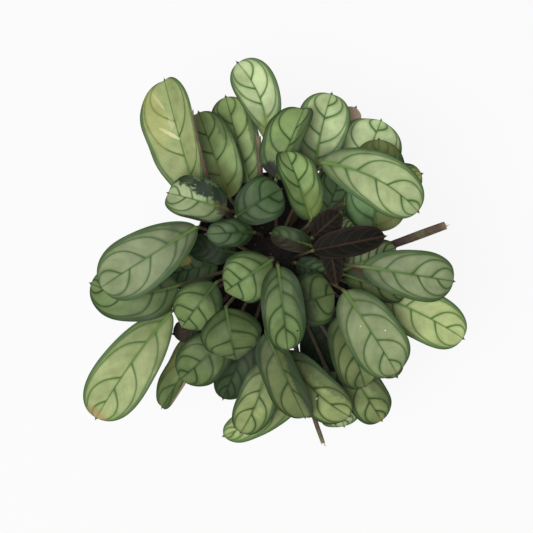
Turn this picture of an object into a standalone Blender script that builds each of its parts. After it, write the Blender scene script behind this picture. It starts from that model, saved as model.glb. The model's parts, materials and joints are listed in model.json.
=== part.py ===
"""A fishbone prayer plant in its round nursery pot, built piece by piece.

Metres, +Z up.  The origin is the centre of the pot's underside, +X is the plant's right
and +Y its back, as it is seen from above.  Each leaf is one closed body: its stalk rises
from the soil, bends over at the joint below the blade and opens into the oblong blade.
"""

import math
from typing import NamedTuple

import bmesh
import bpy
from mathutils import Vector

MM = 0.001
GAP = 0.3 * MM

# Pot: a plain tapered nursery pot with a turned-out rim.
POT_HEIGHT = 105 * MM
POT_TOP_RADIUS = 77.5 * MM
POT_BASE_RADIUS = 57 * MM
POT_WALL = 1.6 * MM
RIM_HEIGHT = 12 * MM
RIM_STEP = 2.0 * MM
POT_SIDES = 32
DRAIN_HOLES = 6
DRAIN_HOLE_RADIUS = 4 * MM
DRAIN_CIRCLE_RADIUS = 34 * MM

# Soil: it fills the pot to below the rim and is raised a little round the stalks.
SOIL_LEVEL = 88 * MM
SOIL_TOP = 92 * MM
SOIL_TOP_RADIUS = 42 * MM

# Stalks: thicker in the sheath at the soil, thin below the blade.
SHEATH_RADIUS = 1.9 * MM
STALK_RADIUS = 1.15 * MM
STALK_SPANS = 5
STALK_LEAD = 0.05
STALK_UPRIGHT = 0.55
INNER_FOOT = 6 * MM
OUTER_FOOT = 37 * MM
LOWEST_BASE = 138 * MM
HIGHEST_BASE = 236 * MM

# Blades: eight points round each cross-section, edge to edge and back.
BLADE_THICKNESS = 0.9 * MM
MUCRO_LENGTH = 3.2 * MM
MUCRO_RADIUS = 0.45 * MM
RING_POINTS = 8
BLADE_STATIONS = (0.04, 0.14, 0.30, 0.50, 0.70, 0.86, 0.96, 1.0)
TIP_BLUNTNESS = 2.8

UP = Vector((0, 0, 1))


class Leaf(NamedTuple):
    """One leaf: where its blade starts and ends in millimetres, and how the blade lies.

    arch lifts the middle of the blade, sweep bends it sideways, roll turns it about its
    length, fold closes its halves upward like a book, droop curls its margins down and
    taper narrows it toward its base.  foot is where the stalk leaves the soil, when that
    isn't in line with the blade's base, and steep is the share of its height that the
    stalk still climbs close under the blade.
    """

    name: str
    base: tuple
    tip: tuple
    width: float
    arch: float = 8
    sweep: float = 0
    roll: float = 0
    fold: float = 4
    droop: float = 0
    taper: float = 0
    foot: tuple = None
    steep: float = 0.22
    color: tuple = (0.30, 0.42, 0.20)


class CutStalk(NamedTuple):
    """A stalk whose blade was cut off: its route in millimetres, foot first."""

    name: str
    route: tuple
    radius: float
    end_radius: float


SAGE = (0.38, 0.50, 0.27)
YELLOW_GREEN = (0.42, 0.52, 0.20)
MID_GREEN = (0.22, 0.38, 0.15)
DEEP_GREEN = (0.08, 0.17, 0.07)
MAROON = (0.05, 0.02, 0.02)

LEAVES = (
    Leaf("leaf_back_left_1", (-68, 44, 172), (-96, 147, 176), 62, roll=26, fold=28, taper=0.45,
         foot=(-27, 20), color=YELLOW_GREEN),
    Leaf("leaf_back_left_2", (-42, 50, 152), (-69, 124, 150), 43, roll=5, fold=8,
         foot=(-25, 28), color=MID_GREEN),
    Leaf("leaf_back_left_3", (-43, 37, 207), (-90, 50, 203), 38, arch=6, roll=-12, fold=20,
         foot=(-21, 35), steep=0.4, color=SAGE),
    Leaf("leaf_back_left_4", (-21, 19, 176), (-60, 17, 186), 24, arch=6, droop=0.1,
         foot=(-13, 17), color=DEEP_GREEN),
    Leaf("leaf_back_1", (-26, 64, 138), (-46, 140, 136), 40, arch=6, fold=8, foot=(-17, 36),
         color=MID_GREEN),
    Leaf("leaf_back_2", (-9, 96, 160), (-34.5, 164, 166), 44, arch=6, sweep=7, roll=-8, fold=14,
         taper=0.75, foot=(-3, 38), color=SAGE),
    Leaf("leaf_back_3", (-2, 63, 192), (21, 121, 186), 46, arch=7, roll=32, fold=32,
         color=MID_GREEN),
    Leaf("leaf_back_4", (25, 28, 226), (6, 82, 216), 36, roll=-24, fold=22, foot=(11, 16),
         color=MID_GREEN),
    Leaf("leaf_back_5", (31, 71, 172), (45, 136, 174), 47, sweep=-2, fold=6, taper=0.3,
         color=SAGE),
    Leaf("leaf_back_6", (-35, 32, 190), (2, 54, 190), 41, taper=0.35, foot=(-17, 30),
         color=DEEP_GREEN),
    Leaf("leaf_back_right_1", (64, 56, 158), (90, 117.5, 148), 56, arch=10, fold=0, droop=0.1,
         color=SAGE),
    Leaf("leaf_back_right_2", (79, 19, 190), (84, 96, 184), 46, taper=-0.35, foot=(27, 11),
         color=DEEP_GREEN),
    Leaf("leaf_back_right_3", (56, 43, 172), (122, 69, 168), 34, arch=7, color=MID_GREEN),
    Leaf("leaf_back_right_4", (34, 73, 222), (112, 34.5, 214), 47, sweep=-7, taper=0.35,
         foot=(4, 19), color=SAGE),
    Leaf("leaf_back_right_5", (55, 106, 142), (68, 129, 146), 20, arch=4, fold=0, color=MAROON),
    Leaf("leaf_back_right_6", (40, 27, 107), (61, 80, 110), 40, arch=4, foot=(33, 13),
         color=DEEP_GREEN),
    Leaf("leaf_right_1", (26, 7, 205), (-6, 17, 202), 19, arch=5, fold=10, foot=(11, 6),
         color=MID_GREEN),
    Leaf("leaf_right_2", (56, -12.5, 180), (98.5, 6, 178), 26, arch=4, fold=10, taper=-0.2,
         foot=(24, -6), color=SAGE),
    Leaf("leaf_right_3", (67, -10, 214), (142, -22, 206), 44, fold=6, taper=0.4, foot=(20, -3),
         steep=0.05, color=SAGE),
    Leaf("leaf_right_4", (15, -7, 183), (45, -19, 181), 20, arch=4, foot=(15, -7),
         color=DEEP_GREEN),
    Leaf("leaf_right_5", (28, 14, 213), (49, 33, 220), 21, arch=5, roll=180, fold=10,
         foot=(14, 10), color=MAROON),
    Leaf("leaf_right_6", (28, 3, 224), (84, 14, 224), 25, arch=6, roll=165, fold=14,
         foot=(16, -2), color=MAROON),
    Leaf("leaf_right_7", (41, 6, 212), (47, -24, 206), 13, arch=5, roll=180, fold=6, taper=-0.9,
         foot=(20, 5), color=MAROON),
    Leaf("leaf_right_8", (38, 20, 166), (65, 24, 168), 22, arch=6, foot=(29, 18), color=SAGE),
    Leaf("leaf_front_right_1", (86, -35, 182), (155.5, -70.5, 178), 43, sweep=-2, fold=6,
         foot=(31, -11), color=YELLOW_GREEN),
    Leaf("leaf_front_right_2", (56, -17, 186), (104, -35, 190), 23, arch=5, fold=22,
         foot=(27, -13), color=MID_GREEN),
    Leaf("leaf_front_right_3", (53, -30, 214), (96.5, -97, 202), 48, arch=9, taper=0.2,
         foot=(22, -14), steep=0.34, color=SAGE),
    Leaf("leaf_front_right_4", (59, -42, 189), (99, -102, 184), 32, foot=(25, -18),
         color=MID_GREEN),
    Leaf("leaf_front_right_5", (10, -42, 196), (46, -32, 191), 45, fold=0, droop=0.1,
         foot=(6, -16), color=MID_GREEN),
    Leaf("leaf_front_1", (52, -50, 186), (74, -112, 166), 42, roll=10, fold=8, foot=(19, -20),
         color=MID_GREEN),
    Leaf("leaf_front_2", (57, -92, 158), (91, -145, 144), 37, foot=(18, -29), color=MID_GREEN),
    Leaf("leaf_front_3", (44, -103, 142), (59, -152, 132), 40, foot=(14, -34), color=SAGE),
    Leaf("leaf_front_4", (3, -82, 184), (60, -137, 172), 38, sweep=4, roll=-6, fold=10,
         foot=(3, -24), color=MID_GREEN),
    Leaf("leaf_front_5", (-10, -64, 202), (22, -136, 184), 38, roll=-26, fold=26,
         foot=(-4, -17), color=MID_GREEN),
    Leaf("leaf_front_6", (-1, -10, 236), (7, -76, 222), 34, foot=(0, -9), color=MID_GREEN),
    Leaf("leaf_front_7", (40, -38, 113), (45, -108, 107), 50, arch=4, fold=0, taper=0.5, foot=(20, -37),
         color=DEEP_GREEN),
    Leaf("leaf_front_left_1", (-8, -88, 182), (-32, -152, 164), 34, sweep=-3, foot=(-5, -25),
         color=MID_GREEN),
    Leaf("leaf_front_left_2", (17, -124, 150), (-47, -158, 148), 28, foot=(-3, -34),
         color=YELLOW_GREEN),
    Leaf("leaf_front_left_3", (-23, -66, 158), (-48, -126, 142), 32, arch=6, color=DEEP_GREEN),
    Leaf("leaf_front_left_4", (-43, -70, 177), (-83, -106, 168), 41, arch=10, fold=0,
         droop=0.15, foot=(-16, -18), color=MID_GREEN),
    Leaf("leaf_front_left_5", (-43, -44, 206), (-35, -88, 182), 47, arch=16, fold=-6, droop=0.3,
         taper=-0.25, color=MID_GREEN),
    Leaf("leaf_front_left_6", (-65.5, -66, 144), (-101.5, -133.5, 142), 33, arch=6, sweep=-2,
         roll=-25, fold=40, foot=(-23, -22), color=MID_GREEN),
    Leaf("leaf_front_left_7", (-68, -62, 163), (-90, -68, 161), 19, arch=3, roll=180, fold=6,
         foot=(-31, -20), steep=0.05, color=MAROON),
    Leaf("leaf_left_1", (-52, -24, 196), (-81, -61, 178), 42, arch=14, fold=-6, droop=0.25,
         foot=(-18, -8), color=MID_GREEN),
    Leaf("leaf_left_2", (-6, -5, 230), (-43, -30, 212), 42, arch=14, fold=-4, droop=0.3,
         foot=(-10, -3), color=MID_GREEN),
    Leaf("leaf_left_3", (-37, 2, 140), (-79, 9, 138), 26, arch=6, fold=0, color=DEEP_GREEN),
    Leaf("leaf_left_4", (-54, -7, 124), (-102, -18, 122), 34, arch=6, fold=0, color=DEEP_GREEN),
    Leaf("leaf_left_5", (-67, 22, 206), (-146, -27, 196), 53, taper=0.45, foot=(-18, -1),
         steep=0.45, color=SAGE),
    Leaf("leaf_left_6", (-85, -26, 178), (-158.5, -24.5, 174), 48, sweep=-7, foot=(-30, -9),
         color=MID_GREEN),
    Leaf("leaf_left_7", (-91, -48.5, 176), (-154.5, -138.5, 172), 53, sweep=2, roll=6, fold=6,
         taper=0.45, foot=(-26, -15), color=YELLOW_GREEN),
)

CUT_STALKS = (
    CutStalk("cut_stalk_right", ((31, -2, 92), (39, 1, 138), (60, 1.4, 158), (85, 4.6, 164),
                                 (142, 25, 172)), 3.5, 3.4),
    CutStalk("cut_stalk_back_left", ((-32, 25, 92), (-44, 36, 140), (-55, 54, 182),
                                     (-63, 80, 204), (-70, 116, 212)), 2.7, 0.7),
    CutStalk("cut_stalk_back", ((-9, 36, 92), (-13, 50, 140), (-15, 66, 160),
                                (-17, 100, 168)), 2.4, 2.2),
    CutStalk("cut_stalk_front", ((9, -39, 92), (14, -70, 118), (24, -116, 124),
                                 (33, -146, 121), (41, -169, 119)), 2.5, 1.8),
)


def clear_scene():
    """Remove whatever the scene holds."""
    for thing in list(bpy.data.objects):
        bpy.data.objects.remove(thing, do_unlink=True)


def make_material(name, color, roughness, metallic=0.0):
    """A Principled BSDF with the piece's own colour."""
    material = bpy.data.materials.new(name)
    material.use_nodes = True
    shader = material.node_tree.nodes["Principled BSDF"]
    shader.inputs["Base Color"].default_value = (*color, 1.0)
    shader.inputs["Roughness"].default_value = roughness
    shader.inputs["Metallic"].default_value = metallic
    return material


def add_object(name, mesh_data, material, sharp_angle=40):
    """Turn a bmesh into a named, smooth-shaded object with one material."""
    mesh = bpy.data.meshes.new(name)
    mesh_data.to_mesh(mesh)
    mesh_data.free()
    mesh.materials.append(material)
    mesh.shade_smooth()
    mesh.set_sharp_from_angle(angle=math.radians(sharp_angle))
    thing = bpy.data.objects.new(name, mesh)
    bpy.context.scene.collection.objects.link(thing)
    return thing


def millimetres(point):
    """A point given in millimetres, as a vector in metres."""
    return Vector(point) * MM


# Pot and soil

def pot_radius(height):
    """The pot's outer radius at a height above the surface it stands on."""
    return POT_BASE_RADIUS + (POT_TOP_RADIUS - POT_BASE_RADIUS) * height / POT_HEIGHT


def turned(profile, sides=POT_SIDES):
    """Spin a profile of (radius, height) points, from axis to axis, into a closed body."""
    body = bmesh.new()
    points = [body.verts.new((radius, 0, height)) for radius, height in profile]
    edges = [body.edges.new(pair) for pair in zip(points, points[1:])]
    bmesh.ops.spin(body, geom=points + edges, cent=(0, 0, 0), axis=UP,
                   angle=math.tau, steps=sides, use_merge=True)
    bmesh.ops.remove_doubles(body, verts=body.verts, dist=0.01 * MM)
    bmesh.ops.recalc_face_normals(body, faces=body.faces)
    return body


def build_pot():
    """The pot: flat base, tapered wall, turned-out rim and drainage holes."""
    rim_bottom = POT_HEIGHT - RIM_HEIGHT
    floor_top = 2 * POT_WALL
    profile = (
        (0, 0),
        (POT_BASE_RADIUS, 0),
        (pot_radius(rim_bottom) - RIM_STEP, rim_bottom),
        (pot_radius(rim_bottom), rim_bottom),
        (POT_TOP_RADIUS, POT_HEIGHT),
        (POT_TOP_RADIUS - POT_WALL, POT_HEIGHT),
        (pot_radius(rim_bottom) - POT_WALL, rim_bottom + POT_WALL),
        (pot_radius(rim_bottom) - RIM_STEP - POT_WALL, rim_bottom),
        (POT_BASE_RADIUS - POT_WALL, floor_top),
        (0, floor_top),
    )
    material = make_material("pot_plastic", (0.03, 0.03, 0.032), 0.5)
    pot = add_object("pot", turned(profile), material)
    cutter = build_drain_cutter(floor_top)
    drains = pot.modifiers.new("Drainage holes", "BOOLEAN")
    drains.object = cutter
    drains.operation = "DIFFERENCE"
    drains.solver = "EXACT"
    return pot


def build_drain_cutter(floor_top):
    """A ring of pegs that cut the drainage holes through the pot's floor."""
    pegs = bmesh.new()
    for index in range(DRAIN_HOLES):
        angle = math.tau * index / DRAIN_HOLES
        made = bmesh.ops.create_cone(pegs, cap_ends=True, segments=10,
                                     radius1=DRAIN_HOLE_RADIUS, radius2=DRAIN_HOLE_RADIUS,
                                     depth=3 * floor_top)
        centre = Vector((math.cos(angle), math.sin(angle), 0)) * DRAIN_CIRCLE_RADIUS
        bmesh.ops.translate(pegs, verts=made["verts"], vec=centre)
    mesh = bpy.data.meshes.new("drain_pegs")
    pegs.to_mesh(mesh)
    pegs.free()
    cutter = bpy.data.objects.new("drain_pegs", mesh)
    cutter.hide_render = True
    cutter.display_type = "WIRE"
    bpy.context.scene.collection.objects.link(cutter)
    return cutter


def build_soil():
    """The potting soil: it stands on the pot's floor and just clears its wall."""
    floor = 2 * POT_WALL + GAP
    clearance = POT_WALL + RIM_STEP + GAP
    bottom_radius = POT_BASE_RADIUS - POT_WALL - GAP
    top_radius = pot_radius(SOIL_LEVEL) - clearance
    profile = (
        (0, floor),
        (bottom_radius, floor),
        (top_radius, SOIL_LEVEL),
        (SOIL_TOP_RADIUS, SOIL_TOP),
        (0, SOIL_TOP),
    )
    material = make_material("soil", (0.035, 0.022, 0.014), 0.95)
    return add_object("soil", turned(profile), material)


# Lofted bodies: rings of points, one after another, closed at both ends

def loft(rings):
    """Join a row of rings, with the same number of points each, into a closed body."""
    body = bmesh.new()
    loops = [[body.verts.new(point) for point in ring] for ring in rings]
    for lower, upper in zip(loops, loops[1:]):
        for index in range(len(lower)):
            after = (index + 1) % len(lower)
            body.faces.new((lower[index], lower[after], upper[after], upper[index]))
    body.faces.new(loops[0])
    body.faces.new(loops[-1])
    bmesh.ops.recalc_face_normals(body, faces=body.faces)
    return body


def bezier(p0, p1, p2, p3, t):
    """A point on a cubic curve."""
    s = 1 - t
    return p0 * s**3 + p1 * (3 * s * s * t) + p2 * (3 * s * t * t) + p3 * t**3


def round_ring(centre, side, normal, radius, count=RING_POINTS):
    """A circle of points across a stalk."""
    ring = []
    for index in range(count):
        angle = math.tau * index / count
        ring.append(centre + (side * math.cos(angle) + normal * math.sin(angle)) * radius)
    return ring


def carried_frames(points, side):
    """Turn a side vector along a row of points, last point first, without twisting.

    The first point's frame lies level, because that end stands on the soil.
    """
    frames = []
    count = len(points)
    for index in reversed(range(count)):
        tangent = points[min(index + 1, count - 1)] - points[max(index - 1, 0)]
        tangent = tangent.normalized() if index else UP
        side = (side - tangent * side.dot(tangent)).normalized()
        frames.append((side, side.cross(tangent)))
    frames.reverse()
    return frames


# Leaves

def blade_axes(leaf):
    """The blade's length, and its unit vectors along, to the right and upward."""
    span = millimetres(leaf.tip) - millimetres(leaf.base)
    along = span.normalized()
    side = along.cross(UP).normalized()
    normal = side.cross(along)
    roll = math.radians(leaf.roll)
    turned_side = side * math.cos(roll) + normal * math.sin(roll)
    return span.length, along, turned_side, normal


def midrib_point(leaf, t):
    """A point of the blade's midrib, t running from base to tip."""
    length, along, side, normal = blade_axes(leaf)
    bow = 4 * t * (1 - t)
    return (millimetres(leaf.base) + along * (length * t)
            + normal * (leaf.arch * MM * bow) + side * (leaf.sweep * MM * bow))


def midrib_tangent(leaf, t):
    """The midrib's direction at t."""
    step = 0.01
    return (midrib_point(leaf, t + step) - midrib_point(leaf, t - step)).normalized()


def half_width(leaf, t):
    """Half the blade's width at t: oblong, with a round base and a blunt end."""
    fullness = math.sqrt(max(0.0, 1 - abs(2 * t - 1) ** TIP_BLUNTNESS))
    return 0.5 * leaf.width * MM * fullness * (1 - leaf.taper * (1 - t) ** 2)


def blade_ring(leaf, t):
    """The eight points of the blade's cross-section at t, right edge first."""
    tangent = midrib_tangent(leaf, t)
    side = blade_axes(leaf)[2]
    side = (side - tangent * side.dot(tangent)).normalized()
    normal = side.cross(tangent)
    centre = midrib_point(leaf, t)
    half = max(half_width(leaf, t), 2 * MUCRO_RADIUS)
    fold = math.radians(leaf.fold)
    ring = []
    for across, layer in ((1, 0), (0.5, 1), (0, 1), (-0.5, 1), (-1, 0), (-0.5, -1),
                          (0, -1), (0.5, -1)):
        reach = half * across
        rise = abs(reach) * math.sin(fold) - leaf.droop * half * across * across
        thick = 0.5 * BLADE_THICKNESS * layer * (1 - 0.5 * abs(across))
        ring.append(centre + side * (reach * math.cos(fold)) + normal * (rise + thick))
    return ring


def stalk_foot(leaf):
    """Where the stalk leaves the soil: the lower the leaf, the farther out."""
    if leaf.foot:
        spot = Vector((*leaf.foot, 0)) * MM
    else:
        base = millimetres(leaf.base)
        height = (base.z - LOWEST_BASE) / (HIGHEST_BASE - LOWEST_BASE)
        radius = OUTER_FOOT + (INNER_FOOT - OUTER_FOOT) * height
        spot = Vector((base.x, base.y, 0)).normalized() * radius
    spot.z = SOIL_TOP + GAP
    return spot


def stalk_rings(leaf):
    """The stalk's rings, from the soil up to the bend below the blade."""
    foot = stalk_foot(leaf)
    base = millimetres(leaf.base)
    tangent = midrib_tangent(leaf, 0)
    rise = base.z - foot.z
    first = foot + UP * (STALK_UPRIGHT * rise)
    last = base - tangent * (STALK_LEAD * rise) - UP * (leaf.steep * rise)
    points = [bezier(foot, first, last, base, index / STALK_SPANS)
              for index in range(STALK_SPANS + 1)]
    frames = carried_frames(points, blade_axes(leaf)[2])
    rings = []
    for index, (point, (side, normal)) in enumerate(zip(points, frames)):
        share = index / STALK_SPANS
        radius = SHEATH_RADIUS + (STALK_RADIUS - SHEATH_RADIUS) * share
        rings.append(round_ring(point, side, normal, radius))
    return rings


def build_leaf(leaf):
    """One leaf: stalk, blade and the small sharp point at the blade's end."""
    rings = stalk_rings(leaf)
    rings += [blade_ring(leaf, t) for t in BLADE_STATIONS]
    tip = midrib_point(leaf, 1.0) + midrib_tangent(leaf, 1.0) * MUCRO_LENGTH
    side, normal = carried_frames([midrib_point(leaf, 1.0), tip], blade_axes(leaf)[2])[-1]
    rings.append(round_ring(tip, side, normal, MUCRO_RADIUS))
    material = make_material(leaf.name, leaf.color, 0.45)
    return add_object(leaf.name, loft(rings), material, sharp_angle=70)


def build_cut_stalk(stalk):
    """A leafless stalk: a round stem along its route, cut off at the end."""
    route = [millimetres(point) for point in stalk.route]
    route[0].z = SOIL_TOP + GAP
    points = smooth_route(route, spans=3)
    frames = carried_frames(points, Vector((1, 0, 0)))
    rings = []
    for index, (point, (side, normal)) in enumerate(zip(points, frames)):
        share = index / (len(points) - 1)
        radius = (stalk.radius + (stalk.end_radius - stalk.radius) * share**2) * MM
        rings.append(round_ring(point, side, normal, radius))
    material = make_material(stalk.name, (0.13, 0.08, 0.055), 0.6)
    return add_object(stalk.name, loft(rings), material, sharp_angle=70)


def smooth_route(route, spans):
    """Points on a smooth curve through a route's own points."""
    padded = [route[0] * 2 - route[1]] + route + [route[-1] * 2 - route[-2]]
    points = []
    for index in range(len(route) - 1):
        before, start, end, after = padded[index:index + 4]
        for step in range(spans):
            points.append(bezier(start, start + (end - before) / 6,
                                 end - (after - start) / 6, end, step / spans))
    points.append(route[-1])
    return points


def main():
    """Build the whole plant."""
    clear_scene()
    build_pot()
    build_soil()
    for leaf in LEAVES:
        build_leaf(leaf)
    for stalk in CUT_STALKS:
        build_cut_stalk(stalk)


main()
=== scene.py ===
"""A fishbone prayer plant in its nursery pot: its leaves, cut stalks, soil and pot.

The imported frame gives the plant's bodies.  Each leaf is modelled again, finer, where its
body stands: a stalk, the joint below the blade, the blade with its veins and the sharp
point at its end.  All lengths in the tables are millimetres.
"""

import json
import math
from typing import NamedTuple

import bmesh
import bpy
import numpy as np
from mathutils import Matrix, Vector


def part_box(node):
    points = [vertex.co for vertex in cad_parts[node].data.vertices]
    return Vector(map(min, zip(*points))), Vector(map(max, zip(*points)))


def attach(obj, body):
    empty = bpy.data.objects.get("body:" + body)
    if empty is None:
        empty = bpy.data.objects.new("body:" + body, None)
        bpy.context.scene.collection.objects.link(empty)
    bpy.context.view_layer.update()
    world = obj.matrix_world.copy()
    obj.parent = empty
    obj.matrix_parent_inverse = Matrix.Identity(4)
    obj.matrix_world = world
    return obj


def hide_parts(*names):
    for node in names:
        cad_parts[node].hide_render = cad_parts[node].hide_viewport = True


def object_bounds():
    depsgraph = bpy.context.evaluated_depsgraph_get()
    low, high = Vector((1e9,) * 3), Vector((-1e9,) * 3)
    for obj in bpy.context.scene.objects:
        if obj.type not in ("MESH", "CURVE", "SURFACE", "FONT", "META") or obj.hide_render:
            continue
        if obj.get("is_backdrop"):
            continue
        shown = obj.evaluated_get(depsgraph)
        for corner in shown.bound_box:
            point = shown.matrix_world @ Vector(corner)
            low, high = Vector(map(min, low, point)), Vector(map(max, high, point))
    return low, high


bl_info = {
    "name": "Fishbone prayer plant",
    "version": (1, 0, 0),
    "blender": (4, 5, 0),
    "location": "3D View > Sidebar > Prayer plant",
    "description": "Builds a potted fishbone prayer plant leaf by leaf",
    "category": "Add Mesh",
}

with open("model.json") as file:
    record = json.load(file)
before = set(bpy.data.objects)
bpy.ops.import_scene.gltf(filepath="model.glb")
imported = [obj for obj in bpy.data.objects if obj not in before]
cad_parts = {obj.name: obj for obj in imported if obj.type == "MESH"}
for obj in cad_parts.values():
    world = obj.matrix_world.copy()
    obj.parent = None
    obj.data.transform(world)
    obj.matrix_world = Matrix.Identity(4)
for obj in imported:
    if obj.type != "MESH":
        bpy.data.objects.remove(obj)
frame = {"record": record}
CAD_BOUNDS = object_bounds()

MM = 0.001
UP = np.array((0.0, 0.0, 1.0))
LEAF_SEED = 7
STALK_SEED = 21
SOIL_SEED = 5
PAINT_SEED_STEP = 3.7
POT_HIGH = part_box("pot")[1]
SOIL_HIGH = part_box("soil")[1]
MATERIAL_SLOTS = {part["node"]: part["material_slot"] for part in frame["record"]["subparts"]}


def tint(red, green, blue):
    """A colour in screen values from 0 to 255, as Blender's linear colour."""
    shares = (value / 255 for value in (red, green, blue))
    return tuple(s / 12.92 if s <= 0.04045 else ((s + 0.055) / 1.055) ** 2.4 for s in shares)


def color_setting(name, description, color):
    """A colour that the user can change, given in screen values from 0 to 255."""
    return bpy.props.FloatVectorProperty(name=name, description=description,
                                         default=tint(*color), min=0, max=1, subtype="COLOR")


def length_setting(name, description, millimetres, **limits):
    """A length that the user can change, given in millimetres."""
    return bpy.props.FloatProperty(name=name, description=description,
                                   default=millimetres * MM, precision=5,
                                   subtype="DISTANCE", unit="LENGTH", **limits)


# Finishes of the blades

class Tone(NamedTuple):
    """A kind of blade: the ground between its veins and the greener flush beside them.

    vein and rib are how bright the veins and the midrib's base are, and the last value is
    painted shade: how far the blade is darkened toward its base and margins, where other
    leaves shade it.
    """

    ground: tuple
    flush: tuple
    vein: float
    rib: float
    painted_shade_depth: float = 0.3


# deep and dusk are dark tones for leaves low in the canopy: partly their own darker green and
# partly painted shade.
TONES = {
    "sage": Tone(tint(162, 177, 131), tint(103, 130, 73), 1.4, 1.2, 0.42),
    "silver": Tone(tint(167, 182, 131), tint(107, 136, 76), 1.45, 1.2, 0.4),
    "yellow": Tone(tint(160, 172, 117), tint(103, 131, 65), 1.6, 1.2),
    "green": Tone(tint(127, 150, 94), tint(66, 97, 46), 0.7, 0.85, 0.46),
    "moss": Tone(tint(135, 149, 96), tint(74, 97, 50), 0.75, 0.95, 0.46),
    "olive": Tone(tint(113, 131, 82), tint(72, 92, 44), 1.1, 1.6, 0.12),
    "deep": Tone(tint(84, 107, 70), tint(42, 66, 36), 0.5, 0.4, 0.4),
    "dusk": Tone(tint(48, 64, 40), tint(36, 50, 28), 0.35, 0.3),
}


class Mark(NamedTuple):
    """A soft patch on a blade.

    along is its centre's share of the blade's length and across its place between the
    midrib (0) and the right margin (1) or the left one (-1).  reach is how far it goes
    along and across in millimetres, frayed how much its outline wanders and turn how many
    degrees it is turned from the midrib to the right.
    """

    color: tuple
    along: float
    across: float
    reach: tuple
    strength: float = 0.8
    frayed: float = 0.5
    turn: float = 0.0


CREAM = tint(218, 214, 170)
STRAW = tint(178, 172, 96)
TAN = tint(164, 130, 88)
RUST = tint(80, 64, 38)
BRUISE = tint(46, 36, 36)
SHADOW_GREEN = tint(44, 60, 40)
DARK_GREEN = tint(26, 42, 20)
BLACK_SPOT = tint(22, 26, 16)
SPECK = tint(232, 236, 222)
OLIVE = tint(112, 114, 60)
MOSS = tint(104, 120, 56)
YELLOW_GREEN = tint(160, 172, 100)
DRY = tint(186, 164, 142)
REDDISH = tint(72, 50, 42)
MAROON = tint(38, 30, 22)


class Leaf(NamedTuple):
    """One leaf: where its blade starts and ends, how it lies and how it is coloured.

    tone names one of the TONES and shade makes the blade lighter or darker than that:
    partly the leaf's own colour and partly painted shade for leaves low in the canopy.
    arch lifts the blade's middle, sweep bends it sideways, roll turns it about its length,
    fold closes its halves upward, droop curls its margins down and taper narrows it toward
    its base.  foot is the stalk's place on the soil and steep the share of its height that
    it climbs close under the blade.  left and right are where the side veins leave the
    midrib, as shares of its length, seen from the base.  A faded leaf's underside is paler.
    """

    name: str
    base: tuple
    tip: tuple
    width: float
    tone: str = "green"
    shade: float = 1.0
    arch: float = 8
    sweep: float = 0
    roll: float = 0
    fold: float = 4
    droop: float = 0
    taper: float = 0
    foot: tuple = None
    steep: float = 0.22
    left: tuple = (0.12, 0.32, 0.52, 0.70, 0.85)
    right: tuple = (0.05, 0.22, 0.42, 0.61, 0.78)
    marks: tuple = ()
    faded: bool = False


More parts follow.
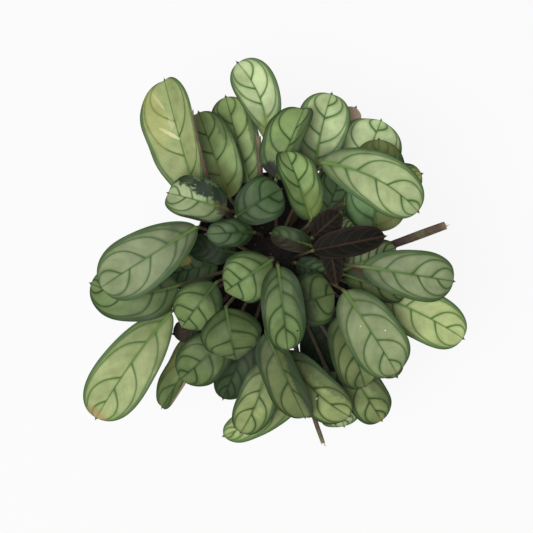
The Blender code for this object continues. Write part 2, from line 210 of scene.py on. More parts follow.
LEAVES = (
    Leaf("back_left_1", (-68, 44, 172), (-96, 147, 176), 62, "yellow", shade=0.84, roll=26,
         fold=28, taper=0.45, foot=(-27, 20), left=(0.02, 0.38, 0.66), right=(0.02, 0.22, 0.54),
         marks=(Mark(CREAM, 0.58, -0.24, (11, 1.8), 0.85, 0.3, -47.0),
                Mark(CREAM, 0.84, -0.3, (9, 1.4), 0.55, 0.3, -24.0),
                Mark(CREAM, 0.66, -0.12, (6, 3), 0.35),
                Mark(STRAW, 0.75, -0.5, (34, 10), 0.35))),
    Leaf("back_left_2", (-42, 50, 152), (-69, 124, 150), 43, "olive", shade=1.5, roll=5, fold=8,
         foot=(-25, 28), left=(0.03, 0.25, 0.5, 0.72), right=(0.12, 0.42, 0.68),
         marks=(Mark(SHADOW_GREEN, 0.85, 0.75, (30, 7), 0.45),
                Mark(OLIVE, 0.12, 0.0, (24, 11), 0.4))),
    Leaf("back_left_3", (-43, 37, 207), (-90, 50, 203), 38, "sage", shade=0.76, arch=6,
         roll=-12, fold=20, foot=(-21, 35), steep=0.4, left=(0.15, 0.45, 0.68),
         right=(0.05, 0.3, 0.56, 0.78),
         marks=(Mark(DARK_GREEN, 0.15, 0.5, (9, 9), 1.0),
                Mark(DARK_GREEN, 0.42, 0.6, (13, 8), 1.0, 0.9),
                Mark(DARK_GREEN, 0.75, 0.75, (13, 6), 0.9, 1.2),
                Mark(BRUISE, 0.3, -0.95, (20, 2.5)), Mark(BRUISE, 0.05, 0.0, (5, 10), 0.7, 0.8),
                Mark(RUST, 0.17, 0.08, (3, 2)))),
    Leaf("back_left_4", (-21, 19, 176), (-60, 17, 186), 24, "deep", shade=0.78, arch=6,
         droop=0.1, foot=(-13, 17), left=(0.05, 0.22, 0.5), right=(0.1, 0.35, 0.62)),
    Leaf("back_1", (-26, 64, 138), (-46, 140, 136), 40, "olive", shade=1.45, arch=6, fold=8,
         foot=(-17, 36), left=(0.1, 0.42, 0.67), right=(0.05, 0.22, 0.5, 0.78),
         marks=(Mark(SHADOW_GREEN, 0.5, 0.8, (40, 5), 0.6),
                Mark(STRAW, 0.5, -0.5, (26, 8), 0.35))),
    Leaf("back_2", (-9, 96, 160), (-34.5, 164, 166), 44, "sage", shade=1.22, arch=6, sweep=7,
         roll=-8, fold=14, taper=0.75, foot=(-3, 38), left=(0.15, 0.45, 0.64),
         right=(0.08, 0.27, 0.52, 0.76),
         marks=(Mark(YELLOW_GREEN, 0.1, 0.0, (18, 9), 0.4),)),
    Leaf("back_3", (-2, 63, 192), (21, 121, 186), 46, "green", shade=1.0, arch=7, roll=32,
         fold=32, left=(0.05, 0.28, 0.52), right=(0.15, 0.45, 0.7),
         marks=(Mark(SHADOW_GREEN, 0.5, 0.6, (40, 9), 0.6),
                Mark(BLACK_SPOT, 0.03, -0.3, (11, 9), 0.95))),
    Leaf("back_4", (25, 28, 226), (6, 82, 216), 36, "green", shade=1.05, roll=-24, fold=22,
         foot=(11, 16), left=(0.18, 0.43, 0.66), right=(0.08, 0.29, 0.52, 0.78),
         marks=(Mark(MOSS, 0.14, 0.3, (17, 10), 0.5),)),
    Leaf("back_5", (31, 71, 172), (45, 136, 174), 47, "sage", shade=1.2, sweep=-2, fold=6,
         taper=0.3, left=(0.22, 0.45, 0.68), right=(0.15, 0.34, 0.67, 0.83)),
    Leaf("back_6", (-35, 32, 190), (2, 54, 190), 41, "deep", shade=0.85, taper=0.35,
         foot=(-17, 30), left=(0.02, 0.2, 0.55), right=(0.02, 0.16, 0.43, 0.72)),
    Leaf("back_right_1", (64, 56, 158), (90, 117.5, 148), 56, "sage", shade=1.58, arch=10,
         fold=0, droop=0.1, left=(0.2, 0.45, 0.8), right=(0.1, 0.5, 0.83)),
    Leaf("back_right_2", (79, 19, 190), (84, 96, 184), 46, "deep", shade=2.4, taper=-0.35,
         foot=(27, 11),
         marks=(Mark(OLIVE, 0.12, 0.5, (14, 12), 0.7), Mark(OLIVE, 0.92, 0.0, (15, 22), 0.65))),
    Leaf("back_right_3", (56, 43, 172), (122, 69, 168), 34, "moss", shade=2.8, arch=7,
         marks=(Mark(STRAW, 0.95, 0.0, (9, 8), 0.5),)),
    Leaf("back_right_4", (34, 73, 222), (112, 34.5, 214), 47, "silver", shade=0.9, sweep=-7,
         taper=0.35, foot=(4, 19), left=(0.13, 0.31, 0.62, 0.86), right=(0.06, 0.2, 0.5, 0.78)),
    Leaf("back_right_5", (55, 106, 142), (68, 129, 146), 20, "dusk", arch=4, fold=0,
         marks=(Mark(DRY, 0.8, 0.0, (26, 14), 0.95),)),
    Leaf("back_right_6", (40, 27, 107), (61, 80, 110), 40, "dusk", shade=3.4, arch=4,
         foot=(33, 13)),
    Leaf("right_1", (26, 7, 205), (-6, 17, 202), 19, "green", shade=0.22, arch=5, fold=10,
         foot=(11, 6), left=(0.1, 0.35, 0.6, 0.82), right=(0.2, 0.5, 0.75),
         marks=(Mark(MAROON, 0.5, -0.55, (26, 5.5), 0.85, 0.6),)),
    Leaf("right_2", (56, -12.5, 180), (98.5, 6, 178), 26, "sage", shade=0.8, arch=4, fold=10,
         taper=-0.2, foot=(24, -6), left=(0.05, 0.16, 0.3, 0.45, 0.6, 0.75),
         right=(0.1, 0.25, 0.42, 0.6, 0.78),
         marks=(Mark(BRUISE, 0.92, -0.9, (12, 4), 0.9),)),
    Leaf("right_3", (67, -10, 214), (142, -22, 206), 44, "sage", shade=0.6, fold=6, taper=0.4,
         foot=(20, -3), steep=0.05, left=(0.05, 0.23, 0.52, 0.73),
         right=(0.15, 0.31, 0.58, 0.8)),
    Leaf("right_4", (15, -7, 183), (45, -19, 181), 20, "deep", shade=0.75, arch=4,
         foot=(15, -7),
         marks=(Mark(REDDISH, 0.95, 0.3, (6, 5), 0.8),)),
    Leaf("right_5", (28, 14, 213), (49, 33, 220), 21, "dusk", arch=5, roll=180, fold=10,
         foot=(14, 10)),
    Leaf("right_6", (28, 3, 224), (84, 14, 224), 25, "dusk", arch=6, roll=165, fold=14,
         foot=(16, -2)),
    Leaf("right_7", (41, 6, 212), (47, -24, 206), 13, "dusk", arch=5, roll=180, fold=6,
         taper=-0.9, foot=(20, 5)),
    Leaf("right_8", (38, 20, 166), (65, 24, 168), 22, "sage", shade=1.75, arch=6,
         foot=(29, 18)),
    Leaf("front_right_1", (86, -35, 182), (155.5, -70.5, 178), 43, "yellow", shade=1.12,
         sweep=-2, fold=6, foot=(31, -11), left=(0.05, 0.27, 0.57, 0.77),
         right=(0.12, 0.33, 0.62)),
    Leaf("front_right_2", (56, -17, 186), (104, -35, 190), 23, "moss", shade=0.58, arch=5,
         fold=22, foot=(27, -13), left=(0.1, 0.4, 0.7), right=(0.25, 0.55, 0.8),
         marks=(Mark(SHADOW_GREEN, 0.35, -0.6, (34, 7), 0.9),
                Mark(REDDISH, 0.15, -0.7, (12, 4), 0.8))),
    Leaf("front_right_3", (53, -30, 214), (96.5, -97, 202), 48, "silver", shade=0.58, arch=9,
         taper=0.2, foot=(22, -14), steep=0.34, left=(0.1, 0.27, 0.57, 0.82),
         right=(0.15, 0.47, 0.72),
         marks=(Mark(SPECK, 0.53, -0.42, (0.7, 0.7), 0.9, 0.1),
                Mark(SPECK, 0.36, 0.2, (0.5, 0.5), 0.8, 0.1))),
    Leaf("front_right_4", (59, -42, 189), (99, -102, 184), 32, "moss", shade=0.8,
         foot=(25, -18)),
    Leaf("front_right_5", (10, -42, 196), (46, -32, 191), 45, "green", shade=0.5, fold=0,
         droop=0.1, foot=(6, -16), left=(0.08, 0.42, 0.78), right=(0.15, 0.52),
         marks=(Mark(SHADOW_GREEN, 0.1, 0.2, (16, 26), 0.6),
                Mark(OLIVE, 0.98, -0.2, (3, 5), 0.7))),
    Leaf("front_1", (52, -50, 186), (74, -112, 166), 42, "moss", shade=0.66, roll=10, fold=8,
         foot=(19, -20), left=(0.15, 0.4, 0.65), right=(0.08, 0.3, 0.52, 0.76),
         marks=(Mark(SHADOW_GREEN, 0.3, -0.4, (40, 11), 0.7, 0.3),)),
    Leaf("front_2", (57, -92, 158), (91, -145, 144), 37, "moss", shade=0.84, foot=(18, -29),
         left=(0.25, 0.58, 0.8), right=(0.05, 0.36, 0.63),
         marks=(Mark(SHADOW_GREEN, 0.4, -0.7, (30, 8), 0.45),
                Mark(TAN, 0.97, 0.0, (4, 4), 0.25))),
    Leaf("front_3", (44, -103, 142), (59, -152, 132), 40, "sage", shade=0.98, foot=(14, -34)),
    Leaf("front_4", (3, -82, 184), (60, -137, 172), 38, "moss", shade=1.03, sweep=4, roll=-6,
         fold=10, foot=(3, -24), left=(0.1, 0.48, 0.75), right=(0.02, 0.18, 0.56),
         marks=(Mark(SHADOW_GREEN, 0.45, -0.7, (38, 7), 0.5),
                Mark(SPECK, 0.585, 0.2, (0.6, 1.4), 0.9, 0.1))),
    Leaf("front_5", (-10, -64, 202), (22, -136, 184), 38, "moss", shade=0.55, roll=-26, fold=26,
         foot=(-4, -17), left=(0.15, 0.4, 0.63), right=(0.02, 0.2, 0.54),
         marks=(Mark(SHADOW_GREEN, 0.55, -0.7, (38, 9), 0.8),)),
    Leaf("front_6", (-1, -10, 236), (7, -76, 222), 34, "green", shade=0.6, foot=(0, -9),
         left=(0.1, 0.27, 0.52, 0.73), right=(0.08, 0.18, 0.43, 0.68),
         marks=(Mark(SHADOW_GREEN, 0.3, -0.8, (34, 6), 0.5),
                Mark(BLACK_SPOT, 0.76, -0.54, (0.9, 0.9), 1.0, 0.1))),
    Leaf("front_7", (40, -38, 113), (45, -108, 107), 50, "dusk", shade=0.55, arch=4, fold=0,
         taper=0.5, foot=(20, -37)),
    Leaf("front_left_1", (-8, -88, 182), (-32, -152, 164), 34, "moss", shade=0.93, sweep=-3,
         foot=(-5, -25), left=(0.2, 0.44, 0.69), right=(0.12, 0.36, 0.6)),
    Leaf("front_left_2", (17, -124, 150), (-47, -158, 148), 28, "yellow", shade=0.9,
         foot=(-3, -34)),
    Leaf("front_left_3", (-23, -66, 158), (-48, -126, 142), 32, "deep", shade=0.44, arch=6),
    Leaf("front_left_4", (-43, -70, 177), (-83, -106, 168), 41, "green", shade=0.48, arch=10,
         fold=0, droop=0.15, foot=(-16, -18), left=(0.12, 0.35, 0.67), right=(0.25, 0.52, 0.8)),
    Leaf("front_left_5", (-43, -44, 206), (-35, -88, 182), 47, "green", shade=0.51, arch=16,
         fold=-6, droop=0.3, taper=-0.25, left=(0.05, 0.27, 0.58), right=(0.1, 0.42, 0.72)),
    Leaf("front_left_6", (-65.5, -66, 144), (-101.5, -133.5, 142), 33, "olive", shade=0.75,
         arch=6, sweep=-2, roll=-25, fold=40, foot=(-23, -22), left=(0.2, 0.5, 0.75),
         right=(0.1, 0.4, 0.68),
         marks=(Mark(DRY, 0.7, -0.9, (26, 4), 0.75), Mark(OLIVE, 0.4, 0.6, (24, 7), 0.5))),
    Leaf("front_left_7", (-68, -62, 163), (-90, -68, 161), 19, "dusk", arch=3, roll=180, fold=6,
         foot=(-31, -20), steep=0.05, faded=True),
    Leaf("left_1", (-52, -24, 196), (-81, -61, 178), 42, "green", shade=0.7, arch=14, fold=-6,
         droop=0.25, foot=(-18, -8), left=(0.12, 0.4, 0.67), right=(0.2, 0.5, 0.8),
         marks=(Mark(SHADOW_GREEN, 0.08, -0.3, (9, 16), 0.5),)),
    Leaf("left_2", (-6, -5, 230), (-43, -30, 212), 42, "green", shade=0.75, arch=14, fold=-4,
         droop=0.3, foot=(-10, -3), left=(0.3, 0.6), right=(0.12, 0.3, 0.52, 0.76)),
    Leaf("left_3", (-37, 2, 140), (-79, 9, 138), 26, "dusk", shade=0.7, arch=6, fold=0),
    Leaf("left_4", (-54, -7, 124), (-102, -18, 122), 34, "dusk", shade=2.8, arch=6, fold=0,
         marks=(Mark(STRAW, 0.6, 0.5, (9, 5), 0.8),)),
    Leaf("left_5", (-67, 22, 206), (-146, -27, 196), 53, "sage", shade=0.52, taper=0.45,
         foot=(-18, -1), steep=0.45, left=(0.08, 0.19, 0.46, 0.68),
         right=(0.11, 0.27, 0.51, 0.77)),
    Leaf("left_6", (-85, -26, 178), (-158.5, -24.5, 174), 48, "green", shade=0.59, sweep=-7,
         foot=(-30, -9), left=(0.1, 0.26, 0.6, 0.83), right=(0.15, 0.4, 0.65, 0.86),
         marks=(Mark(OLIVE, 0.88, 0.6, (12, 9), 0.7),)),
    Leaf("left_7", (-91, -48.5, 176), (-154.5, -138.5, 172), 53, "yellow", shade=0.79, sweep=2,
         roll=6, fold=6, taper=0.45, foot=(-26, -15), left=(0.18, 0.48, 0.72),
         right=(0.08, 0.28, 0.62, 0.84),
         marks=(Mark(TAN, 0.98, 0.1, (8, 12), 0.45),
                Mark(BRUISE, 0.45, -0.99, (42, 1.4), 0.8))),
)

# The stalks' feet, by how high the blade's base stands.
SOIL_TOP = 92.3
INNER_FOOT = 6.0
OUTER_FOOT = 37.0
LOWEST_BASE = 138.0
HIGHEST_BASE = 236.0
STALK_LEAD = 0.05
STALK_UPRIGHT = 0.55
TIP_BLUNTNESS = 2.8


# Shader building

class Wire:
    """A socket in a material's nodes: arithmetic on it adds the Math nodes."""

    def __init__(self, paint, socket):
        self.paint = paint
        self.socket = socket

    def _maths(self, operation, *values):
        return self.paint.node("ShaderNodeMath", {"operation": operation},
                               dict(enumerate(values)))

    def __add__(self, other):
        return self._maths("ADD", self, other)

    __radd__ = __add__

    def __sub__(self, other):
        return self._maths("SUBTRACT", self, other)

    def __rsub__(self, other):
        return self._maths("SUBTRACT", other, self)

    def __mul__(self, other):
        return self._maths("MULTIPLY", self, other)

    __rmul__ = __mul__

    def __truediv__(self, other):
        return self._maths("DIVIDE", self, other)

    def __pow__(self, power):
        return self._maths("POWER", self, power)

    def __abs__(self):
        return self._maths("ABSOLUTE", self)

    def __round__(self):
        return self._maths("ROUND", self)

    def most(self, other):
        """The larger of the two."""
        return self._maths("MAXIMUM", self, other)

    def least(self, other):
        """The smaller of the two."""
        return self._maths("MINIMUM", self, other)

    def ease(self, low, high):
        """0 below low, 1 above high and a soft step between them."""
        return self.paint.node("ShaderNodeMapRange", {"interpolation_type": "SMOOTHSTEP"},
                               {"Value": self, "From Min": low, "From Max": high})

    def fade(self, low, high):
        """1 below low, 0 above high and a soft step between them."""
        return 1 - self.ease(low, high)

    def parts(self):
        """The three parts of a vector."""
        split = self.paint.node("ShaderNodeSeparateXYZ", {}, {"Vector": self})
        return [Wire(self.paint, output) for output in split.socket.node.outputs]


def new_object(name, data):
    """An object for some data, in the scene."""
    thing = bpy.data.objects.new(name, data)
    bpy.context.scene.collection.objects.link(thing)
    return thing


class Paint:
    """A material under construction."""

    def __init__(self, name):
        self.material = bpy.data.materials.new(name)
        self.material.use_nodes = True
        self.tree = self.material.node_tree
        self.shader = self.tree.nodes["Principled BSDF"]

    def node(self, kind, settings, sockets, output=0):
        """Add a node: its settings first, then the values or links of its sockets."""
        made = self.tree.nodes.new(kind)
        for key, value in settings.items():
            setattr(made, key, value)
        for key, value in sockets.items():
            self.join(made.inputs[key], value)
        return Wire(self, made.outputs[output])

    def join(self, target, value):
        """Give a socket its link or its value."""
        if isinstance(value, Wire):
            self.tree.links.new(value.socket, target)
        elif isinstance(value, tuple) and target.type == "RGBA":
            target.default_value = (*value, 1.0)
        else:
            target.default_value = value

    def attribute(self, name):
        """A vector that the mesh carries."""
        return self.node("ShaderNodeAttribute", {"attribute_name": name}, {}, "Vector")

    def position(self):
        """The place on the object, in metres."""
        return self.node("ShaderNodeTexCoord", {}, {}, "Object")

    def vector(self, x, y, z):
        """Three values as one vector."""
        return self.node("ShaderNodeCombineXYZ", {}, {0: x, 1: y, 2: z})

    def noise(self, where, scale, detail=2.0, roughness=0.5):
        """Soft random values round 0.5."""
        return self.node("ShaderNodeTexNoise", {"noise_dimensions": "3D"},
                         {"Vector": where, "Scale": scale, "Detail": detail,
                          "Roughness": roughness}, "Fac")

    def mix(self, share, first, second):
        """A colour between two colours."""
        return self.node("ShaderNodeMix", {"data_type": "RGBA"},
                         {0: share, 6: first, 7: second}, 2)

    def shaded(self, color, amount):
        """A colour made lighter or darker by a value round 1."""
        return self.node("ShaderNodeVectorMath", {"operation": "SCALE"},
                         {"Vector": color, "Scale": amount})

    def bump(self, height, strength, distance):
        """Send a height to the shader's normal."""
        normal = self.node("ShaderNodeBump", {},
                           {"Height": height, "Strength": strength, "Distance": distance})
        self.join(self.shader.inputs["Normal"], normal)

    def finish(self, **sockets):
        """Set the shader's own sockets, named with _ for a space."""
        for name, value in sockets.items():
            self.join(self.shader.inputs[name.replace("_", " ")], value)
        return self.material


def place(piece, node):
    """Hang a piece on the plant's one body in place of its node."""
    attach(piece, "root")
    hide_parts(node)
    MATERIAL_SLOTS[node]


# Leaf geometry, as arrays of points

def unit(vectors):
    """Vectors of length one."""
    return vectors / np.linalg.norm(vectors, axis=-1, keepdims=True)


def blade_axes(leaf):
    """The blade's length in millimetres, and its unit vectors along, right and upward."""
    span = np.subtract(leaf.tip, leaf.base).astype(float)
    length = np.linalg.norm(span)
    along = span / length
    side = unit(np.cross(along, UP))
    normal = np.cross(side, along)
    roll = math.radians(leaf.roll)
    return length, along, side * math.cos(roll) + normal * math.sin(roll), normal


def midrib_points(leaf, along):
    """Points of the blade's midrib, along running from 0 at its base to 1 at its tip."""
    length, forward, side, normal = blade_axes(leaf)
    t = np.asarray(along, float)[..., None]
    bow = 4 * t * (1 - t)
    return (np.array(leaf.base, float) + forward * length * t
            + normal * leaf.arch * bow + side * leaf.sweep * bow)


def midrib_frames(leaf, along):
    """The midrib's points with the unit vectors forward, right and upward at each."""
    step = 0.01
    ahead = midrib_points(leaf, np.asarray(along) + step)
    behind = midrib_points(leaf, np.asarray(along) - step)
    forward = unit(ahead - behind)
    side = blade_axes(leaf)[2]
    side = unit(side - forward * (forward @ side)[..., None])
    return midrib_points(leaf, along), forward, side, np.cross(side, forward)


def half_widths(leaf, along):
    """Half the blade's width: oblong, with a round base and a blunt end."""
    t = np.asarray(along, float)
    fullness = np.sqrt(np.maximum(0, 1 - np.abs(2 * t - 1) ** TIP_BLUNTNESS))
    return 0.5 * leaf.width * fullness * (1 - leaf.taper * (1 - t) ** 2)


# A side vein leaves the midrib at a slant, arches toward the tip and runs on along the
# margin.  vein_lean says how far toward the tip it has come at a share of the width.
LEAN_START = 0.13
LEAN_EDGE = 0.045
LEAN_LIMIT = 1.02
LEAN_MOST = 0.85
# The veins near the blade's tip lean more than those near its base.
BASE_STRETCH = 0.75
STRETCH_GAIN = 0.9


def vein_phase(starts, along, across, length, half):
    """Which side vein passes a place, as a number that is whole on a vein.

    Also the distance in millimetres between veins there.
    """
    gap = LEAN_LIMIT - across
    lean = LEAN_START * across + LEAN_EDGE * across**3 / gap
    slope = LEAN_START + LEAN_EDGE * across**2 * (3 / gap + across / gap**2)
    lean = np.minimum(lean, LEAN_MOST)
    stretch = BASE_STRETCH + STRETCH_GAIN * along
    origin = along - lean * stretch
    known = np.array(starts)
    index = np.arange(len(known), dtype=float)
    steps = np.diff(known)
    phase = np.interp(origin, known, index)
    before = np.clip((origin - known[0]) / steps[0], -0.5, 0)
    after = np.clip((origin - known[-1]) / steps[-1], 0, 0.5)
    density = 1 / np.interp(origin, known[:-1] + steps / 2, steps)
    gradient = np.hypot((1 - STRETCH_GAIN * lean) / length, slope * stretch / half)
    return phase + before + after, 1 / (density * gradient)


def stalk_foot(leaf):
    """Where the stalk leaves the soil: the lower the leaf, the farther out."""
    if leaf.foot:
        return np.array((*leaf.foot, SOIL_TOP))
    height = (leaf.base[2] - LOWEST_BASE) / (HIGHEST_BASE - LOWEST_BASE)
    radius = OUTER_FOOT + (INNER_FOOT - OUTER_FOOT) * height
    flat = np.array((leaf.base[0], leaf.base[1], 0.0))
    return unit(flat) * radius + UP * SOIL_TOP


def bezier(points, t):
    """Points on a cubic curve."""
    t = np.asarray(t)[..., None]
    s = 1 - t
    first, second, third, last = points
    return first * s**3 + second * 3 * s * s * t + third * 3 * s * t * t + last * t**3


def stalk_route(leaf, shares):
    """Points up the stalk, from the soil to the blade's base."""
    foot = stalk_foot(leaf)
    base = np.array(leaf.base, float)
    forward = midrib_frames(leaf, 0.0)[1]
    rise = base[2] - foot[2]
    last = base - forward * (STALK_LEAD * rise) - UP * (leaf.steep * rise)
    return bezier((foot, foot + UP * (STALK_UPRIGHT * rise), last, base), shares)


def carried_frames(points, side):
    """Carry a side vector back along a row of points, without twisting, to level ground."""
    sides = np.zeros_like(points)
    normals = np.zeros_like(points)
    count = len(points)
    for index in reversed(range(count)):
        forward = points[min(index + 1, count - 1)] - points[max(index - 1, 0)]
        forward = unit(forward) if index else UP
        side = unit(side - forward * (side @ forward))
        sides[index] = side
        normals[index] = np.cross(side, forward)
    return sides, normals


def distances(points):
    """How far along a row of points each of them lies."""
    steps = np.linalg.norm(np.diff(points, axis=0), axis=1)
    return np.concatenate(((0,), np.cumsum(steps)))


def circles(sides, normals, turn):
    """A circle of unit vectors round each point that has these side and normal vectors."""
    return sides[:, None] * np.cos(turn)[:, None] + normals[:, None] * np.sin(turn)[:, None]


# Mesh building

BLADE_STEPS = 64
HALF_ACROSS = 14
RING = 4 * HALF_ACROSS
STALK_STEPS = 22
MUCRO_STEPS = 5
MUCRO_LENGTH = 3.2
MUCRO_RADIUS = 0.3
MUCRO_ROOT = 1.5
MUCRO_TAPER = 0.75
SHEATH_RADIUS = 1.9
STALK_RADIUS = 1.12
SHARP_ANGLE = math.radians(70)
# The joint below the blade is a soft swelling of the stalk.
JOINT_SWELL = 0.45
JOINT_PLACE = 5
JOINT_LENGTH = 4.5
# The midrib stands out a little above the blade and much more below it.
RIDGE_ABOVE = 0.15
RIDGE_BELOW = 1.3
RIDGE_WIDTH = 1.0
# The blade is thinner at its margins, which wave less where the blade is narrow.
MARGIN_THINNING = 0.6
WAVE_TURNS = (1.5, 3.0)
WAVE_FULL_WIDTH = 12


def ring_across():
    """Across positions round a section, from the right edge over the top and back."""
    x = np.linspace(0, 1, HALF_ACROSS + 1)
    half = 0.5 * x + 0.5 * np.sin(0.5 * math.pi * x)
    top = np.concatenate((half[::-1], -half[1:]))
    return np.concatenate((top, top[-2:0:-1]))


ACROSS = ring_across()
LAYER = np.array([0] + [1] * (2 * HALF_ACROSS - 1) + [0] + [-1] * (2 * HALF_ACROSS - 1))
ANGLE = np.where(LAYER >= 0, np.arccos(ACROSS), 2 * math.pi - np.arccos(ACROSS))


def make_object(name, points, faces, materials, slots=None, attributes=()):
    """A smooth-shaded object from points in metres; attributes are (name, domain, rows)."""
    mesh = bpy.data.meshes.new(name)
    mesh.from_pydata(points, [], faces)
    for material in materials:
        mesh.materials.append(material)
    if slots is not None:
        mesh.polygons.foreach_set("material_index", slots)
    for label, domain, rows in attributes:
        layer = mesh.attributes.new(label, "FLOAT_VECTOR", domain)
        layer.data.foreach_set("vector", np.asarray(rows, np.float32).ravel())
    mesh.shade_smooth()
    mesh.set_sharp_from_angle(angle=SHARP_ANGLE)
    return new_object(name, mesh)


def tube_faces(rings, count):
    """Quads between rings of count points, with a closing face at each end."""
    ring, point = np.meshgrid(np.arange(rings - 1), np.arange(count), indexing="ij")
    after = (point + 1) % count
    low, high = ring * count, (ring + 1) * count
    quads = np.stack((low + point, high + point, high + after, low + after), -1)
    faces = quads.reshape(-1, 4).tolist()
    faces.append(list(range(count)))
    faces.append(list(range((rings - 1) * count, rings * count))[::-1])
    return faces


def blade_rings(leaf, settings, random):
    """The blade's sections, with what its paint needs to know at each point."""
    share = np.linspace(0, 1, BLADE_STEPS + 1)
    along = 0.5 - 0.5 * np.cos(math.pi * share)
    length = blade_axes(leaf)[0]
    centre, _, side, normal = midrib_frames(leaf, along)
    half = np.maximum(half_widths(leaf, along), MUCRO_ROOT)[:, None]
    reach = half * ACROSS
    width = np.abs(ACROSS)
    fold = math.radians(leaf.fold)
    rise = np.abs(reach) * math.sin(fold) - leaf.droop * half * width**2

    right = vein_phase(leaf.right, along[:, None], width, length, half)
    left = vein_phase(leaf.left, along[:, None], width, length, half)
    on_right = ACROSS > 0
    phase = np.where(on_right, right[0], left[0])
    panel = np.cos(2 * math.pi * phase)
    shape = 4 * width * (1 - width)
    rise = rise - settings.quilting / MM * panel * shape * np.sin(math.pi * along)[:, None]

    turns = random.uniform(*WAVE_TURNS, 2)
    starts = random.uniform(0, 2 * math.pi, 2)
    wave = [np.sin(2 * math.pi * turn * along + start) for turn, start in zip(turns, starts)]
    ripple = np.where(on_right, wave[0][:, None], wave[1][:, None])
    swing = settings.margin_wave / MM * ripple * width**3
    rise = rise + swing * np.minimum(1, half / WAVE_FULL_WIDTH)

    thick = 0.5 * settings.blade_thickness / MM * (1 - MARGIN_THINNING * width**2)
    ridge = np.exp(-((reach / RIDGE_WIDTH) ** 2)) * (1 - along[:, None])
    over = thick + RIDGE_ABOVE * ridge
    under = thick + RIDGE_BELOW * ridge * (1 - 0.5 * along[:, None])
    rise = rise + np.where(LAYER > 0, over, np.where(LAYER < 0, -under, 0))

    points = (centre[:, None] + side[:, None] * (reach * math.cos(fold))[..., None]
              + normal[:, None] * rise[..., None])
    margin = np.broadcast_to(half, reach.shape) - np.abs(reach)
    lay = np.stack((np.broadcast_to(along[:, None] * length, reach.shape), reach, margin), -1)
    return points, lay, right, left


def stalk_rings(leaf):
    """The stalk's sections, from its sheath in the soil to the joint below the blade."""
    share = np.linspace(0, 1, STALK_STEPS + 1)
    route = stalk_route(leaf, share)
    sides, normals = carried_frames(route, blade_axes(leaf)[2])
    travelled = distances(route)
    to_blade = travelled[-1] - travelled
    radius = STALK_RADIUS + (SHEATH_RADIUS - STALK_RADIUS) * (1 - share) ** 1.2
    radius = radius + JOINT_SWELL * np.exp(-(((to_blade - JOINT_PLACE) / JOINT_LENGTH) ** 2))
    points = route[:, None] + circles(sides, normals, ANGLE) * radius[:, None, None]
    parts = (travelled[:, None], ANGLE, to_blade[:, None])
    lay = np.stack([np.broadcast_to(part, points.shape[:2]) for part in parts], -1)
    return points[:-1], lay[:-1]


def mucro_rings(leaf):
    """The small sharp point at the blade's end."""
    share = np.linspace(0, 1, MUCRO_STEPS + 1)[1:]
    centre, forward, side, normal = (row[0] for row in midrib_frames(leaf, np.array([1.0])))
    radius = MUCRO_RADIUS * (1 - MUCRO_TAPER * share)
    spread = np.maximum(MUCRO_ROOT * (1 - share) ** 1.7, radius)
    centres = centre + forward * (share * MUCRO_LENGTH)[:, None]
    across = side * (np.cos(ANGLE)[:, None] * spread[:, None, None])
    points = centres[:, None] + across + (normal * np.sin(ANGLE)[:, None]
                                          * radius[:, None, None])
    lay = np.zeros_like(points)
    lay[..., 2] = share[:, None]
    return points, lay


TOP, UNDER, STALK, POINT = range(4)


def build_leaf(leaf, settings, materials, random):
    """One leaf as one closed mesh."""
    stalk, stalk_lay = stalk_rings(leaf)
    blade, blade_lay, right, left = blade_rings(leaf, settings, random)
    mucro, mucro_lay = mucro_rings(leaf)
    points = np.concatenate((stalk, blade, mucro))
    lay = np.concatenate((stalk_lay, blade_lay, mucro_lay))
    rings = len(points)
    faces = tube_faces(rings, RING)

    ring = np.arange(rings - 1)[:, None]
    column = np.arange(RING)[None, :]
    first_blade = len(stalk)
    last_blade = first_blade + len(blade) - 1
    slots = np.where(column < 2 * HALF_ACROSS, TOP, UNDER) + 0 * ring
    slots = np.where(ring < first_blade, STALK, slots)
    slots = np.where(ring >= last_blade, POINT, slots)
    slots = np.concatenate((slots.ravel(), (STALK, POINT)))

    table = np.zeros((2, rings, RING, 3))
    for row, veins in enumerate((right, left)):
        phase, spacing = (np.broadcast_to(part, blade.shape[:2]) for part in veins)
        table[row, first_blade:last_blade + 1, :, 0] = phase
        table[row, first_blade:last_blade + 1, :, 1] = spacing
        table[row, ..., 2] = row
    is_left = (column >= HALF_ACROSS) & (column < 3 * HALF_ACROSS) & (ring >= 0)
    quads = np.array(faces[:-2]).reshape(rings - 1, RING, 4)
    corners = table.reshape(2, rings * RING, 3)[is_left.astype(int)[..., None], quads]
    corners = np.concatenate((corners.reshape(-1, 3), np.zeros((2 * RING, 3))))

    return make_object("prayer_leaf_" + leaf.name, points.reshape(-1, 3) * MM, faces,
                       materials, slots,
                       (("lay", "POINT", lay.reshape(-1, 3)), ("veins", "CORNER", corners)))


# Leaf finishes

def shaded_color(color, share):
    """A colour made darker or brighter."""
    return tuple(value * share for value in color)


def marked(paint, leaf, mark, color, lay, seed):
    """Lay one soft-edged patch over a blade's colour."""
    along, across, out = lay
    length = float(blade_axes(leaf)[0])
    half = 0.5 * leaf.width
    wander = paint.noise(paint.vector(along, across, seed * 5.0), 0.35, 3.0, 0.6) - 0.5
    away = along - mark.along * length
    aside = across - mark.across * half
    if mark.turn:
        cosine, sine = math.cos(math.radians(mark.turn)), math.sin(math.radians(mark.turn))
        away, aside = away * cosine + aside * sine, aside * cosine - away * sine
    away = away * (1 / mark.reach[0])
    aside = aside * (1 / mark.reach[1])
    distance = (away * away + aside * aside) ** 0.5 + wander * (2 * mark.frayed)
    return paint.mix(distance.fade(0.6, 1.1) * mark.strength, color, mark.color)


